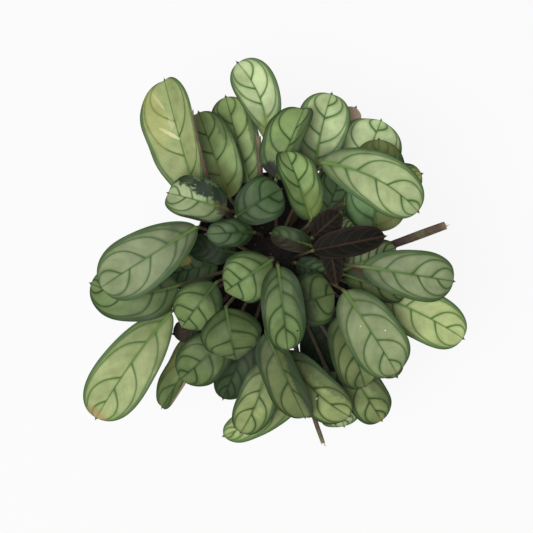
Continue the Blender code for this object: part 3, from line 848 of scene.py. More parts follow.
def blade_paint(leaf, settings, seed):
    """The upper face: pale ground, dark midrib, side veins and margin, fine ribs."""
    paint = Paint("blade_" + leaf.name)
    tone = TONES[leaf.tone]
    along, across, margin = paint.attribute("lay").parts()
    phase, spacing, half = paint.attribute("veins").parts()
    length = float(blade_axes(leaf)[0])
    reach = abs(across)
    share = along * (1 / length)
    off = abs(round(phase) - phase) * spacing
    out = reach / (reach + margin)

    drift = paint.noise(paint.vector(along, across, seed), 0.09, 2.0)
    blotch = paint.noise(paint.vector(along, across, seed + 40.0), 0.035, 3.0, 0.6)
    ribs = paint.noise(paint.vector(phase * 11 + half * 30 + seed, along * 0.03,
                                    across * 0.06), 1.0, 3.0, 0.65)

    line = settings.vein_width / MM / 2
    vein = off.fade(line * 0.4, line * (1.9 - 0.6 * out)) * (1 - 0.35 * out)
    halo = off.fade(0.0, 3.2) * 0.45
    rib_line = settings.midrib_width / MM / 2
    rib = reach.fade(rib_line * (0.75 - 0.55 * share), rib_line * (1.5 - 0.9 * share))
    rib_halo = reach.fade(0.0, 4.0 - 2.0 * share) * (1 - 0.6 * share)
    edge = margin.fade(0.25, 1.5) * 0.9
    edge_halo = margin.fade(0.0, 3.6) * 0.3

    flush = (halo + rib_halo * 0.7 + share.fade(0.0, 0.4) * 0.35
             + (blotch - 0.5) * 1.6).most(0.0).least(1.0)
    color = paint.mix(flush, tone.ground, tone.flush)
    streaks = 1 + (ribs - 0.5) * 0.4 + (drift - 0.5) * 0.7
    # Painted shade: the blade is darkened toward its base and margins, where other leaves shade
    # it.
    painted_shade = 1 - share.fade(0.0, 0.7) * tone.painted_shade_depth - margin.fade(0.0, 8.0) * (tone.painted_shade_depth * 0.7)
    color = paint.shaded(color, streaks * painted_shade * (leaf.shade * 1.16))
    color = paint.mix(edge_halo, color, tuple(settings.vein_color))
    # Painted shade: the veins and midrib take the blade's shade value too.
    light = 0.55 + 0.45 * leaf.shade  # a darker blade has darker veins too
    vein_color = shaded_color(settings.vein_color, tone.vein * light)
    rib_base = shaded_color(settings.midrib_color, tone.rib * light)
    rib_color = paint.mix(share.ease(0.05, 0.9), rib_base, vein_color)
    color = paint.mix(vein * 0.92, color, vein_color)
    color = paint.mix(edge, color, shaded_color(settings.margin_color, tone.vein))
    color = paint.mix(rib * (1 - 0.4 * share), color, rib_color)
    for index, mark in enumerate(leaf.marks):
        color = marked(paint, leaf, mark, color, (along, across, out), seed + index)
    height = (1 - vein) * 0.5 + ribs * 0.25 - rib * 0.4 + drift * 0.3
    paint.bump(height, 0.35, 0.0006)
    gloss = 0.52 + (ribs - 0.5) * 0.15 + (blotch - 0.5) * 0.2
    return paint.finish(Base_Color=color, Roughness=gloss, Specular_IOR_Level=0.16)


def underside_paint(settings, name, lightness):
    """The underside: dark maroon, with the side veins as fine raised lines."""
    paint = Paint(name)
    lay = paint.attribute("lay")
    along, across, margin = lay.parts()
    phase, spacing, half = paint.attribute("veins").parts()
    off = abs(round(phase) - phase) * spacing
    vein = off.fade(0.2, 0.9)
    rib = abs(across).fade(0.5, 1.4)
    mottle = paint.noise(lay, 0.12, 3.0, 0.6)
    ribs = paint.noise(paint.vector(phase * 11 + half * 30, along * 0.03, across * 0.06),
                       1.0, 3.0, 0.65)
    base = paint.shaded(tuple(settings.underside_color),
                        (0.8 + mottle * 0.5 + (ribs - 0.5) * 0.3) * lightness)
    color = paint.mix(vein * 0.5 + margin.fade(0.0, 1.0) * 0.4, base, tint(50, 37, 34))
    color = paint.mix(rib * 0.6, color, tint(66, 49, 40))
    paint.bump(vein * 0.6 + rib + ribs * 0.2, 0.4, 0.0006)
    return paint.finish(Base_Color=color, Roughness=0.6 + mottle * 0.2,
                        Specular_IOR_Level=0.1)


def stalk_paint(settings):
    """The stalk: purple-brown with olive streaks, greener at the joint below the blade."""
    paint = Paint("leaf_stalk")
    travelled, turn, to_blade = paint.attribute("lay").parts()
    streaks = paint.noise(paint.vector(travelled * 0.02, turn * 1.3, 3.0), 2.0, 3.0, 0.6)
    mottle = paint.noise(paint.vector(travelled, turn * 2.0, 0.0), 0.35, 3.0, 0.6)
    olive = (streaks.ease(0.42, 0.66) * 0.7 + to_blade.fade(4.0, 12.0) * 0.5).least(1.0)
    color = paint.mix(olive, tuple(settings.stalk_color), tuple(settings.joint_color))
    color = paint.shaded(color, 0.75 + mottle * 0.5)
    paint.bump(streaks * 0.6 + mottle * 0.4, 0.4, 0.0004)
    return paint.finish(Base_Color=color, Roughness=0.4 + mottle * 0.25)


def point_paint():
    """The sharp point: a dry brown tip."""
    paint = Paint("leaf_point")
    share = paint.attribute("lay").parts()[2]
    grain = paint.noise(paint.attribute("lay"), 9.0, 2.0)
    color = paint.mix(share.ease(0.0, 0.7), tint(92, 92, 52), tint(70, 48, 38))
    color = paint.shaded(color, 0.8 + grain * 0.4)
    return paint.finish(Base_Color=color, Roughness=0.5 + grain * 0.1)


class PlantLeafSettings(bpy.types.PropertyGroup):
    """Sizes and colours that all the leaves share."""

    blade_thickness: length_setting(
        "Blade thickness", "Thickness of a leaf's blade", 0.5, min=0.1 * MM)
    quilting: length_setting(
        "Quilting", "How far the blade swells between its side veins", 0.22, min=0.0)
    margin_wave: length_setting(
        "Margin wave", "How far the blade's margins wave up and down", 0.9, min=0.0)
    vein_width: length_setting(
        "Side vein width", "Width of the dark line on each side vein", 1.35, min=0.1 * MM)
    midrib_width: length_setting(
        "Midrib width", "Width of the midrib's line at the blade's base", 1.8, min=0.1 * MM)
    vein_color: color_setting(
        "Vein colour", "Colour of the side veins", (50, 80, 38))
    midrib_color: color_setting(
        "Midrib colour", "Colour of the midrib near the blade's base", (92, 120, 56))
    margin_color: color_setting(
        "Margin colour", "Colour of the thin line along the margin", (45, 67, 39))
    underside_color: color_setting(
        "Underside colour", "Colour of the blades' undersides", (20, 20, 14))
    fading: bpy.props.FloatProperty(
        name="Fading", description="How much lighter the underside of a faded leaf is",
        default=4.0, min=1, max=10)
    stalk_color: color_setting(
        "Stalk colour", "Colour of the stalks", (84, 58, 52))
    joint_color: color_setting(
        "Joint colour", "Colour of the joint below each blade", (104, 112, 62))


class PLANT_OT_leaves(bpy.types.Operator):
    """Build every leaf of the plant"""

    bl_idname = "prayer_plant.leaves"
    bl_label = "Build leaves"

    def execute(self, context):
        settings = context.scene.plant_leaves
        random = np.random.default_rng(LEAF_SEED)
        fresh = underside_paint(settings, "blade_underside", 1.0)
        faded = underside_paint(settings, "faded_underside", settings.fading)
        shared = [stalk_paint(settings), point_paint()]
        for seed, leaf in enumerate(LEAVES):
            blade = blade_paint(leaf, settings, seed * PAINT_SEED_STEP)
            underside = faded if leaf.faded else fresh
            piece = build_leaf(leaf, settings, [blade, underside] + shared, random)
            place(piece, "leaf_" + leaf.name)
        return {"FINISHED"}


# Cut stalks

class CutStalk(NamedTuple):
    """A leafless stalk: its route, its radius at the soil and at the end, and its end."""

    name: str
    route: tuple
    radius: float
    end_radius: float
    end: str


CUT_STALKS = (
    CutStalk("right", ((31, -2, 92), (39, 1, 138), (60, 1.4, 158), (85, 4.6, 164),
                       (142, 25, 172)), 3.5, 3.4, "cut"),
    CutStalk("back_left", ((-32, 25, 92), (-44, 36, 140), (-55, 54, 182),
                           (-63, 80, 204), (-70, 116, 212)), 2.7, 0.7, "pointed"),
    CutStalk("back", ((-9, 36, 92), (-13, 50, 140), (-15, 66, 160),
                      (-17, 100, 168)), 2.4, 2.2, "jagged"),
    CutStalk("front", ((9, -39, 92), (14, -70, 118), (24, -116, 124), (33, -146, 121),
                       (41, -169, 119)), 2.5, 1.8, "split"),
)
STALK_SPANS = 14
CUT_SIDES = 36
FIBRE_SIDES = 6
FIBRE_STEPS = 5
FIBRE_RADIUS = 0.22
# The lengthwise grooves: how deep each row of them is and how many go round the stalk.
FLUTES = ((0.5, 5), (0.3, 8), (0.2, 13))
# The stalk swells and shrinks a little along its length, every so many millimetres.
SWELL = 0.04
SWELL_LENGTH = 9
# How deep an end is torn, in radii.
ENDS = {"cut": 0.35, "pointed": 0.6, "jagged": 2.2, "split": 2.8}


def smooth_route(route, spans):
    """Points on a smooth curve through a route's own points."""
    knots = np.array(route, float)
    knots[0, 2] = SOIL_TOP
    padded = np.concatenate(((knots[0] * 2 - knots[1],), knots,
                             (knots[-1] * 2 - knots[-2],)))
    share = np.arange(spans) / spans
    points = []
    for before, start, end, after in zip(padded, padded[1:], padded[2:], padded[3:]):
        handles = (start, start + (end - before) / 6, end - (after - start) / 6, end)
        points.append(bezier(handles, share))
    return np.concatenate(points + [knots[-1:]])


def fibre(root, tip, radius, random):
    """A thin torn fibre, from its root to its tip."""
    share = np.linspace(0, 1, FIBRE_STEPS + 1)[:, None]
    bend = random.normal(0, 0.18, 3) * np.linalg.norm(tip - root)
    centre = root + (tip - root) * share + bend * share * (1 - share) * 2
    forward = unit(tip - root)
    side = unit(np.cross(forward, UP + 0.1))
    normal = np.cross(forward, side)
    turn = np.linspace(0, 2 * math.pi, FIBRE_SIDES, endpoint=False)
    circle = side * np.cos(turn)[:, None] + normal * np.sin(turn)[:, None]
    return centre[:, None] + circle * (radius * (1 - 0.85 * share))[:, None]


def build_cut_stalk(stalk, settings, materials, random):
    """A fluted, dried stalk with its torn or cut end and a few loose fibres."""
    route = smooth_route(stalk.route, STALK_SPANS)
    sides, normals = carried_frames(route, np.array((1.0, 0.0, 0.0)))
    share = np.linspace(0, 1, len(route))
    travelled = distances(route)
    turn = np.linspace(0, 2 * math.pi, CUT_SIDES, endpoint=False)
    radius = stalk.radius + (stalk.end_radius - stalk.radius) * share**2
    radius = radius * (1 + SWELL * np.sin(travelled / SWELL_LENGTH + random.uniform(0, 6)))
    flutes = sum(deep * np.cos(count * turn + random.uniform(0, 6)) for deep, count in FLUTES)
    depth = settings.fluting * (0.5 + 0.5 * share)[:, None]
    reach = radius[:, None] * (1 + depth * flutes)
    points = route[:, None] + circles(sides, normals, turn) * reach[..., None]
    forward = unit(route[-1] - route[-2])
    torn = random.uniform(0, 1, CUT_SIDES) * ENDS[stalk.end] * stalk.end_radius
    points[-1] += forward * (torn - torn.mean())[:, None] * 0.8
    hollow = points[-1] * 0.45 + route[-1] * 0.55 - forward * 0.4 * stalk.end_radius
    points = np.concatenate((points, hollow[None]))
    lay = np.zeros_like(points)
    lay[..., 0] = np.append(travelled, travelled[-1])[:, None]
    lay[..., 1] = turn
    lay[..., 2] = np.append(travelled[-1] - travelled, 0.0)[:, None]
    faces = tube_faces(len(points), CUT_SIDES)
    slots = [0] * ((len(points) - 2) * CUT_SIDES) + [1] * CUT_SIDES + [0, 1]
    points, lay = points.reshape(-1, 3), lay.reshape(-1, 3)
    for _ in range(settings.fibres):
        spot = route[-1] + (points[-1 - CUT_SIDES - random.integers(CUT_SIDES)]
                            - route[-1]) * 0.8
        tip = spot + (forward + random.normal(0, 0.35, 3)) * random.uniform(1, 3.2)
        loose = fibre(spot - forward, tip, FIBRE_RADIUS, random).reshape(-1, 3)
        count = len(points)
        faces += [[index + count for index in face]
                  for face in tube_faces(FIBRE_STEPS + 1, FIBRE_SIDES)]
        slots += [1] * (FIBRE_STEPS * FIBRE_SIDES + 2)
        points = np.concatenate((points, loose))
        lay = np.concatenate((lay, loose * 0 + lay[count - 1]))
    return make_object("dried_stalk_" + stalk.name, points * MM, faces, materials, slots,
                       (("lay", "POINT", lay),))


def cut_stalk_paint(settings):
    """A drying stalk: brown with lengthwise fibres, olive patches and dark scars."""
    paint = Paint("dried_stalk")
    travelled, turn, to_end = paint.attribute("lay").parts()
    fibres = paint.noise(paint.vector(travelled * 0.03, turn * 2.4, 1.0), 2.2, 4.0, 0.65)
    patches = paint.noise(paint.vector(travelled * 0.5, turn * 0.8, 9.0), 0.16, 3.0, 0.6)
    scars = paint.noise(paint.vector(travelled * 0.6, turn * 2.0, 30.0), 0.9, 3.0, 0.7)
    color = paint.mix(patches.ease(0.46, 0.64), tuple(settings.stalk_color),
                      tuple(settings.patch_color))
    color = paint.mix(fibres.ease(0.5, 0.75) * 0.55, color, tuple(settings.fibre_color))
    color = paint.mix(scars.ease(0.62, 0.74) * 0.7, color, tint(38, 26, 22))
    color = paint.mix(to_end.fade(0.5, 7.0) * 0.4, color, tuple(settings.fibre_color))
    color = paint.shaded(color, 0.75 + fibres * 0.5)
    paint.bump(fibres * 0.8 + scars * 0.3, 0.6, 0.0006)
    return paint.finish(Base_Color=color, Roughness=0.55 + fibres * 0.25)


def torn_paint(settings):
    """The pale fibrous inside that shows at a stalk's torn end."""
    paint = Paint("torn_end")
    grain = paint.noise(paint.position(), 1500.0, 3.0)
    color = paint.mix(grain, tuple(settings.fibre_color), tint(176, 152, 112))
    paint.bump(grain, 0.5, 0.0003)
    return paint.finish(Base_Color=color, Roughness=0.7 + grain * 0.2)


class PlantCutStalkSettings(bpy.types.PropertyGroup):
    """The leafless stalks."""

    fluting: bpy.props.FloatProperty(
        name="Fluting", description="Depth of the lengthwise grooves, as a share of the radius",
        default=0.1, min=0, max=0.4, subtype="FACTOR")
    fibres: bpy.props.IntProperty(
        name="Loose fibres", description="How many torn fibres stick out of each end",
        default=7, min=0, max=40)
    stalk_color: color_setting(
        "Stalk colour", "Colour of the dried stalks", (84, 66, 52))
    patch_color: color_setting(
        "Patch colour", "Colour of the patches that are still olive", (98, 96, 64))
    fibre_color: color_setting(
        "Fibre colour", "Colour of the dry fibres", (152, 136, 102))


class PLANT_OT_cut_stalks(bpy.types.Operator):
    """Build the stalks whose leaves were cut off"""

    bl_idname = "prayer_plant.cut_stalks"
    bl_label = "Build cut stalks"

    def execute(self, context):
        settings = context.scene.plant_cut_stalks
        random = np.random.default_rng(STALK_SEED)
        materials = [cut_stalk_paint(settings), torn_paint(settings)]
        for stalk in CUT_STALKS:
            piece = build_cut_stalk(stalk, settings, materials, random)
            place(piece, "cut_stalk_" + stalk.name)
        return {"FINISHED"}


# Pot

POT_SIDES = 144
POT_HEIGHT = POT_HIGH[2]
POT_TOP_RADIUS = POT_HIGH[0]
POT_BASE_RADIUS = 0.057
POT_WALL = 0.0016
RIM_HEIGHT = 0.012
RIM_STEP = 0.002
DRAIN_HOLES = 6
DRAIN_RADIUS = 0.004
DRAIN_CIRCLE = 0.034
DRAIN_SIDES = 40
ARC_STEPS = 5
POT_SHARP_ANGLE = math.radians(40)
MERGE_DISTANCE = 1e-6
FOOT_WIDTH = 0.005
FOOT_INSIDE = 0.006
# Two ribs run round the wall: their heights as shares of the wall's, and half their
# breadth at the wall and at the top.
RIB_SHARES = (0.28, 0.34)
RIB_FOOT = 0.0016
RIB_CREST = 0.0006


def pot_radius(height):
    """The pot's outer radius at a height above the surface it stands on."""
    return POT_BASE_RADIUS + (POT_TOP_RADIUS - POT_BASE_RADIUS) * height / POT_HEIGHT


def rounded(profile, radii):
    """A profile of (radius, height) points with its corners rounded off."""
    knots = [np.array(point, float) for point in profile]
    points = [knots[0]]
    for before, corner, after, radius in zip(knots, knots[1:], knots[2:], radii):
        reach = min(radius, 0.45 * np.linalg.norm(before - corner),
                    0.45 * np.linalg.norm(after - corner))
        start = corner + unit(before - corner) * reach
        end = corner + unit(after - corner) * reach
        for t in np.linspace(0, 1, ARC_STEPS + 1):
            points.append(start * (1 - t) ** 2 + corner * 2 * t * (1 - t) + end * t**2)
    points.append(knots[-1])
    return points


def turned(name, profile, sides, materials):
    """Spin a profile, from axis to axis, into a closed round body."""
    body = bmesh.new()
    points = [body.verts.new((float(radius), 0, float(height))) for radius, height in profile]
    edges = [body.edges.new(pair) for pair in zip(points, points[1:])]
    bmesh.ops.spin(body, geom=points + edges, cent=(0, 0, 0), axis=UP,
                   angle=math.tau, steps=sides, use_merge=True)
    bmesh.ops.remove_doubles(body, verts=body.verts, dist=MERGE_DISTANCE)
    bmesh.ops.recalc_face_normals(body, faces=body.faces)
    mesh = bpy.data.meshes.new(name)
    body.to_mesh(mesh)
    body.free()
    for material in materials:
        mesh.materials.append(material)
    mesh.shade_smooth()
    mesh.set_sharp_from_angle(angle=POT_SHARP_ANGLE)
    return new_object(name, mesh)


def pot_profile(settings):
    """The pot's section: base with a foot ring, wall with ribs, turned-out rounded rim."""
    rim = POT_HEIGHT - RIM_HEIGHT
    low = POT_BASE_RADIUS
    slope = (pot_radius(rim) - RIM_STEP - low) / rim
    recess = settings.base_recess
    rib = settings.rib_height
    profile = [(0, recess), (low - FOOT_INSIDE, recess), (low - FOOT_WIDTH, 0), (low, 0)]
    radii = [0.0005, 0.0006, 0.0012]
    for share in RIB_SHARES:
        height = rim * share
        radius = low + slope * height
        for lift, out in ((-RIB_FOOT, 0), (-RIB_CREST, rib), (RIB_CREST, rib), (RIB_FOOT, 0)):
            profile.append((radius + slope * lift + out, height + lift))
            radii.append(RIB_CREST)
    profile += [(low + slope * rim, rim), (pot_radius(rim), rim + 0.0003),
                (POT_TOP_RADIUS, POT_HEIGHT), (POT_TOP_RADIUS - POT_WALL, POT_HEIGHT),
                (pot_radius(rim) - POT_WALL, rim + POT_WALL),
                (pot_radius(rim) - RIM_STEP - POT_WALL, rim),
                (low - POT_WALL, 2 * POT_WALL), (0, 2 * POT_WALL)]
    radii += [0.0008, 0.0009, 0.0008, 0.0008, 0.0015, 0.0015, 0.0008]
    return rounded(profile, radii)


def cut_drains(pot):
    """Cut the drainage holes through the pot's floor."""
    pegs = bmesh.new()
    for index in range(DRAIN_HOLES):
        angle = math.tau * index / DRAIN_HOLES
        made = bmesh.ops.create_cone(pegs, cap_ends=True, segments=DRAIN_SIDES,
                                     radius1=DRAIN_RADIUS, radius2=DRAIN_RADIUS,
                                     depth=6 * POT_WALL)
        centre = Vector((math.cos(angle), math.sin(angle), 0)) * DRAIN_CIRCLE
        bmesh.ops.translate(pegs, verts=made["verts"], vec=centre)
    mesh = bpy.data.meshes.new("drain_pegs")
    pegs.to_mesh(mesh)
    pegs.free()
    cutter = new_object("drain_pegs", mesh)
    drains = pot.modifiers.new("Drainage holes", "BOOLEAN")
    drains.object = cutter
    drains.solver = "EXACT"
    drawn = pot.evaluated_get(bpy.context.evaluated_depsgraph_get())
    whole = bpy.data.meshes.new_from_object(drawn)
    pot.modifiers.clear()
    pot.data = whole
    bpy.data.objects.remove(cutter)


def pot_paint(settings):
    """Dark satin plastic: scuffs, dried splashes of soil and pale lime at the foot."""
    paint = Paint("pot_plastic")
    where = paint.position()
    x, y, height = where.parts()
    grain = paint.noise(where, 1400.0, 2.0)
    cloud = paint.noise(where, 40.0, 4.0, 0.6)
    splash = paint.noise(where, 260.0, 4.0, 0.7)
    scuffs = paint.noise(paint.vector(x * 30, y * 30, height * 900), 1.0, 3.0, 0.7)
    near_rim = height.ease(POT_HEIGHT * 0.72, POT_HEIGHT)
    near_foot = height.fade(0.004, 0.03)
    color = paint.shaded(tuple(settings.pot_color), 0.7 + cloud * 0.6)
    color = paint.mix(scuffs.ease(0.6, 0.72) * 0.25, color, tint(96, 96, 96))
    color = paint.mix((splash - 0.62 + near_rim * 0.1).ease(0.0, 0.06) * 0.8, color,
                      tuple(settings.dirt_color))
    color = paint.mix((cloud - 0.5).ease(0.0, 0.12) * near_foot * 0.35, color,
                      tint(150, 148, 140))
    paint.bump(grain * 0.5 + scuffs * 0.3 + splash.ease(0.6, 0.7), 0.25, 0.0003)
    return paint.finish(Base_Color=color, Roughness=0.42 + cloud * 0.2 + grain * 0.06)


class PlantPotSettings(bpy.types.PropertyGroup):
    """The nursery pot."""

    base_recess: length_setting(
        "Base recess", "How far the base is set up inside its foot ring", 0.8,
        min=0, max=1.2 * MM)
    rib_height: length_setting(
        "Rib height", "How far the two ribs stand out of the wall", 0.7, min=0)
    pot_color: color_setting(
        "Pot colour", "Colour of the plastic", (40, 40, 42))
    dirt_color: color_setting(
        "Dirt colour", "Colour of the dried splashes of soil", (74, 56, 42))


class PLANT_OT_pot(bpy.types.Operator):
    """Build the nursery pot"""

    bl_idname = "prayer_plant.pot"
    bl_label = "Build pot"

    def execute(self, context):
        settings = context.scene.plant_pot
        pot = turned("nursery_pot", pot_profile(settings), POT_SIDES, [pot_paint(settings)])
        cut_drains(pot)
        place(pot, "pot")
        return {"FINISHED"}


# Soil

SOIL_SIDES = 180
SOIL_RINGS = 44
SOIL_LEVEL = 0.088
SOIL_FLAT = 0.042
SOIL_GAP = 0.0003
SOIL_EVEN = 0.004
SOIL_WAVES = 34
CRUMB_KINDS = (0.63, 0.32, 0.05)  # soil, bark and perlite


def soil_radius():
    """The soil's radius at its level by the pot's wall."""
    return pot_radius(SOIL_LEVEL) - POT_WALL - RIM_STEP - SOIL_GAP


def soil_height(radius):
    """The soil's height: level round the stalks and a little lower by the wall."""
    share = np.clip((radius - SOIL_FLAT) / (soil_radius() - SOIL_FLAT), 0, 1)
    return SOIL_HIGH[2] + (SOIL_LEVEL - SOIL_HIGH[2]) * share


def lump(centre, size, random):
    """One crumb: an eight-faced lump with its corners pushed about, split once."""
    corners = np.array(((1, 0, 0), (-1, 0, 0), (0, 1, 0), (0, -1, 0), (0, 0, 1), (0, 0, -1)),
                       float)
    faces = ((0, 2, 4), (2, 1, 4), (1, 3, 4), (3, 0, 4), (2, 0, 5), (1, 2, 5), (3, 1, 5),
             (0, 3, 5))
    points = list(corners)
    middles = {}
    split = []
    for face in faces:
        halves = []
        for one, two in ((0, 1), (1, 2), (2, 0)):
            key = tuple(sorted((face[one], face[two])))
            if key not in middles:
                middles[key] = len(points)
                points.append(unit(corners[key[0]] + corners[key[1]]))
            halves.append(middles[key])
        split += [(face[0], halves[0], halves[2]), (face[1], halves[1], halves[0]),
                  (face[2], halves[2], halves[1]), tuple(halves)]
    shape = np.array(points) * random.uniform(0.72, 1.2, (len(points), 1))
    shape = shape * random.uniform(0.55, 1.1, 3) * size
    turn = random.uniform(0, 2 * math.pi)
    cosine, sine = math.cos(turn), math.sin(turn)
    spin = np.array(((cosine, -sine, 0), (sine, cosine, 0), (0, 0, 1)))
    return shape @ spin.T + centre, split


def build_soil(settings, materials):
    """The soil's body, its uneven top and the loose crumbs that lie on it."""
    random = np.random.default_rng(SOIL_SEED)
    edge = soil_radius()
    turn = np.linspace(0, 2 * math.pi, SOIL_SIDES, endpoint=False)
    floor = 2 * POT_WALL + SOIL_GAP
    bottom = POT_BASE_RADIUS - POT_WALL - SOIL_GAP
    radii = np.concatenate(((bottom * 0.5, bottom), np.linspace(edge, edge * 0.02, SOIL_RINGS)))
    heights = np.concatenate(((floor, floor), soil_height(radii[2:])))
    x = radii[:, None] * np.cos(turn)
    y = radii[:, None] * np.sin(turn)
    rough = np.zeros_like(x)
    for _ in range(SOIL_WAVES):
        wave = random.normal(0, 1, 2)
        wave *= random.uniform(60, 900) / np.linalg.norm(wave)
        rough += np.sin(wave[0] * x + wave[1] * y + random.uniform(0, 6)) / SOIL_WAVES
    inside = np.minimum(1, (edge - radii) / SOIL_EVEN)
    inside[:2] = 0
    z = heights[:, None] + rough * settings.unevenness * 3 * inside[:, None]
    points = np.stack((x, y, z), -1).reshape(-1, 3)
    faces = tube_faces(len(radii), SOIL_SIDES)
    slots = [0] * len(faces)
    parts = [points]
    count = len(points)
    for index in range(settings.crumbs):
        radius = edge * math.sqrt(random.uniform(0.0, 0.93))
        angle = random.uniform(0, 2 * math.pi)
        size = settings.crumb_size * random.uniform(0.35, 1.0) ** 1.6
        centre = np.array((radius * math.cos(angle), radius * math.sin(angle),
                           soil_height(radius) - 0.1 * size))
        shape, split = lump(centre, size, random)
        parts.append(shape)
        faces += [[corner + count for corner in face] for face in split]
        slots += [int(random.choice(len(CRUMB_KINDS), p=CRUMB_KINDS))] * len(split)
        count += len(shape)
    return make_object("potting_soil", np.concatenate(parts), faces, materials, slots)


def soil_paint(name, color, scale):
    """Damp crumbly potting mix, bark or perlite."""
    paint = Paint(name)
    where = paint.position()
    coarse = paint.noise(where, scale, 4.0, 0.7)
    fine = paint.noise(where, scale * 5, 3.0, 0.7)
    shade = paint.shaded(color, 0.5 + coarse * 0.7 + fine * 0.3)
    paint.bump(coarse * 0.6 + fine * 0.4, 0.9, 0.0012)
    return paint.finish(Base_Color=shade, Roughness=0.8 + fine * 0.15)


class PlantSoilSettings(bpy.types.PropertyGroup):
    """The potting soil."""

    unevenness: length_setting(
        "Unevenness", "How far the soil's top rises and falls", 0.9, min=0)
    crumbs: bpy.props.IntProperty(
        name="Crumbs", description="How many loose crumbs lie on the soil",
        default=620, min=0, max=3000)
    crumb_size: length_setting(
        "Crumb size", "Radius of the largest crumbs", 2.2, min=0.2 * MM)
    soil_color: color_setting(
        "Soil colour", "Colour of the damp soil", (27, 23, 19))
    bark_color: color_setting(
        "Bark colour", "Colour of the bits of bark", (48, 37, 27))
    perlite_color: color_setting(
        "Perlite colour", "Colour of the pale perlite grains", (92, 88, 80))


class PLANT_OT_soil(bpy.types.Operator):
    """Build the potting soil"""

    bl_idname = "prayer_plant.soil"
    bl_label = "Build soil"

    def execute(self, context):
        settings = context.scene.plant_soil
        materials = [soil_paint("damp_soil", tuple(settings.soil_color), 420.0),
                     soil_paint("bark", tuple(settings.bark_color), 700.0),
                     soil_paint("perlite", tuple(settings.perlite_color), 900.0)]
        place(build_soil(settings, materials), "soil")
        return {"FINISHED"}


# Stage

class PlantStageSettings(bpy.types.PropertyGroup):
    """The floor, the light and the camera."""

    floor_color: bpy.props.FloatVectorProperty(
        name="Floor colour", description="Colour of the floor",
        default=(0.6, 0.6, 0.6), min=0, max=1, subtype="COLOR")
    camera_height: bpy.props.FloatProperty(
        name="Camera height", description="Height of the camera above the floor",
        default=1.0, min=0.4, subtype="DISTANCE", unit="LENGTH")
    key_power: bpy.props.FloatProperty(
        name="Light power", description="Power of the soft light overhead, in watts",
        default=20.0, min=0, subtype="POWER", unit="POWER")
    sky_strength: bpy.props.FloatProperty(
        name="Sky strength", description="Strength of the even light all round",
        default=0.3, min=0, subtype="FACTOR")


class PLANT_OT_stage(bpy.types.Operator):
    """Set out the floor, the lights and the camera"""

    bl_idname = "prayer_plant.stage"
    bl_label = "Set out stage"

    def execute(self, context):
        settings = context.scene.plant_stage
        build_floor(settings)
        build_lights(settings)
        build_camera(settings)
        context.scene.view_settings.view_transform = "Standard"
        return {"FINISHED"}


FLOOR_RADIUS = 4.0
FLOOR_SIDES = 96
FLOOR_GLOW = 0.88
FLOOR_BRIGHTNESS = 1.02
LIGHT_SIZE = 0.9
LIGHT_PLACE = (-0.38, -0.2, 1.6)
CAMERA_X = -0.010
CAMERA_Y = -0.010
SENSOR = 36.0
FOCAL_PIXELS = 975.0
IMAGE_WIDTH = 533.0


def build_floor(settings):
    """A round pale floor: it shows evenly white, with a faint soft shadow."""
    turn = np.linspace(0, 2 * math.pi, FLOOR_SIDES, endpoint=False)
    points = np.stack((np.cos(turn), np.sin(turn), np.zeros_like(turn)), -1) * FLOOR_RADIUS
    paint = Paint("studio_floor")
    grain = paint.noise(paint.position(), 300.0, 2.0)
    paint.finish(Base_Color=paint.shaded(tuple(settings.floor_color), 0.99 + grain * 0.02),
                 Roughness=0.9)
    glow = paint.node("ShaderNodeEmission", {},
                      {"Color": (1.0, 1.0, 1.0), "Strength": FLOOR_BRIGHTNESS})
    seen = paint.node("ShaderNodeLightPath", {}, {}, "Is Camera Ray")
    shown = paint.node("ShaderNodeMixShader", {},
                       {0: seen * FLOOR_GLOW, 1: Wire(paint, paint.shader.outputs[0]),
                        2: glow})
    paint.join(paint.tree.nodes["Material Output"].inputs["Surface"], shown)
    floor = make_object("studio_floor", points, [list(range(FLOOR_SIDES))],
                        [paint.material])
    floor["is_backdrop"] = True


def build_lights(settings):
    """A large soft light overhead and an even light all round."""
    lamp = bpy.data.lights.new("overhead_light", "AREA")
    lamp.shape = "DISK"
    lamp.size = LIGHT_SIZE
    lamp.energy = settings.key_power
    holder = new_object("overhead_light", lamp)
    holder.location = LIGHT_PLACE
    holder.rotation_euler = Vector(LIGHT_PLACE).to_track_quat("Z", "Y").to_euler()
    world = bpy.data.worlds.new("studio")
    world.use_nodes = True
    tree = world.node_tree
    background = tree.nodes["Background"]
    background.inputs["Color"].default_value = (1.0, 1.0, 1.0, 1.0)
    background.inputs["Strength"].default_value = settings.sky_strength
    backdrop = tree.nodes.new("ShaderNodeBackground")
    backdrop.inputs["Color"].default_value = (1.0, 1.0, 1.0, 1.0)
    seen = tree.nodes.new("ShaderNodeLightPath")
    shown = tree.nodes.new("ShaderNodeMixShader")
    tree.links.new(seen.outputs["Is Camera Ray"], shown.inputs[0])
    tree.links.new(background.outputs[0], shown.inputs[1])
    tree.links.new(backdrop.outputs[0], shown.inputs[2])
    tree.links.new(shown.outputs[0], tree.nodes["World Output"].inputs["Surface"])
    bpy.context.scene.world = world


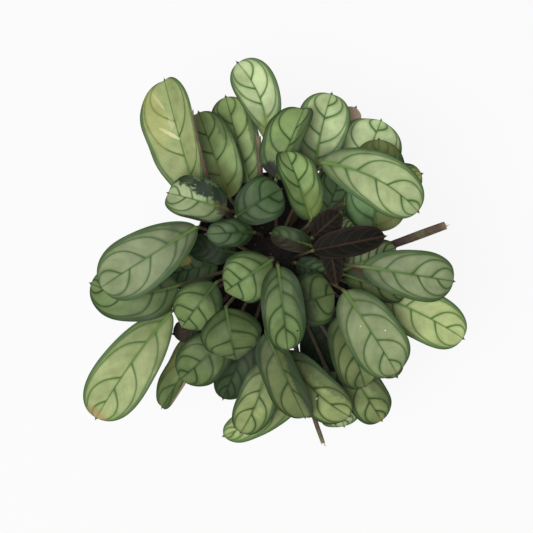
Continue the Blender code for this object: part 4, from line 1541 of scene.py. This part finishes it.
def build_camera(settings):
    """A camera straight above the plant."""
    data = bpy.data.cameras.new("camera")
    data.sensor_width = SENSOR
    data.lens = SENSOR * FOCAL_PIXELS / IMAGE_WIDTH
    camera = new_object("camera", data)
    camera.location = (CAMERA_X, CAMERA_Y, settings.camera_height)
    bpy.context.scene.camera = camera


class PLANT_PT_panel(bpy.types.Panel):
    """The plant's settings and the buttons that build it"""

    bl_idname = "PLANT_PT_panel"
    bl_label = "Prayer plant"
    bl_space_type = "VIEW_3D"
    bl_region_type = "UI"
    bl_category = "Prayer plant"

    def draw(self, context):
        for name, operators in SECTIONS:
            box = self.layout.box()
            settings = getattr(context.scene, name)
            for key in settings.bl_rna.properties.keys():
                if key not in ("rna_type", "name"):
                    box.prop(settings, key)
            for operator in operators:
                box.operator(operator)


SECTIONS = (
    ("plant_leaves", ("prayer_plant.leaves",)),
    ("plant_cut_stalks", ("prayer_plant.cut_stalks",)),
    ("plant_soil", ("prayer_plant.soil",)),
    ("plant_pot", ("prayer_plant.pot",)),
    ("plant_stage", ("prayer_plant.stage",)),
)
GROUPS = {
    "plant_leaves": PlantLeafSettings,
    "plant_cut_stalks": PlantCutStalkSettings,
    "plant_soil": PlantSoilSettings,
    "plant_pot": PlantPotSettings,
    "plant_stage": PlantStageSettings,
}
CLASSES = (
    *GROUPS.values(),
    PLANT_OT_leaves,
    PLANT_OT_cut_stalks,
    PLANT_OT_soil,
    PLANT_OT_pot,
    PLANT_OT_stage,
    PLANT_PT_panel,
)


def register():
    """Make the classes known and give the scene its settings."""
    for kind in CLASSES:
        bpy.utils.register_class(kind)
    for name, group in GROUPS.items():
        setattr(bpy.types.Scene, name, bpy.props.PointerProperty(type=group))


def unregister():
    """Undo what register did."""
    for name in GROUPS:
        delattr(bpy.types.Scene, name)
    for kind in reversed(CLASSES):
        bpy.utils.unregister_class(kind)


def main():
    """Build the plant and its stage, then work out the sizes of both models."""
    register()
    bpy.ops.prayer_plant.leaves()
    bpy.ops.prayer_plant.cut_stalks()
    bpy.ops.prayer_plant.soil()
    bpy.ops.prayer_plant.pot()
    bpy.ops.prayer_plant.stage()
    sizes = {"cad": [list(corner) for corner in CAD_BOUNDS],
             "visual": [list(corner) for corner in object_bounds()]}


if __name__ == "__main__":
    main()
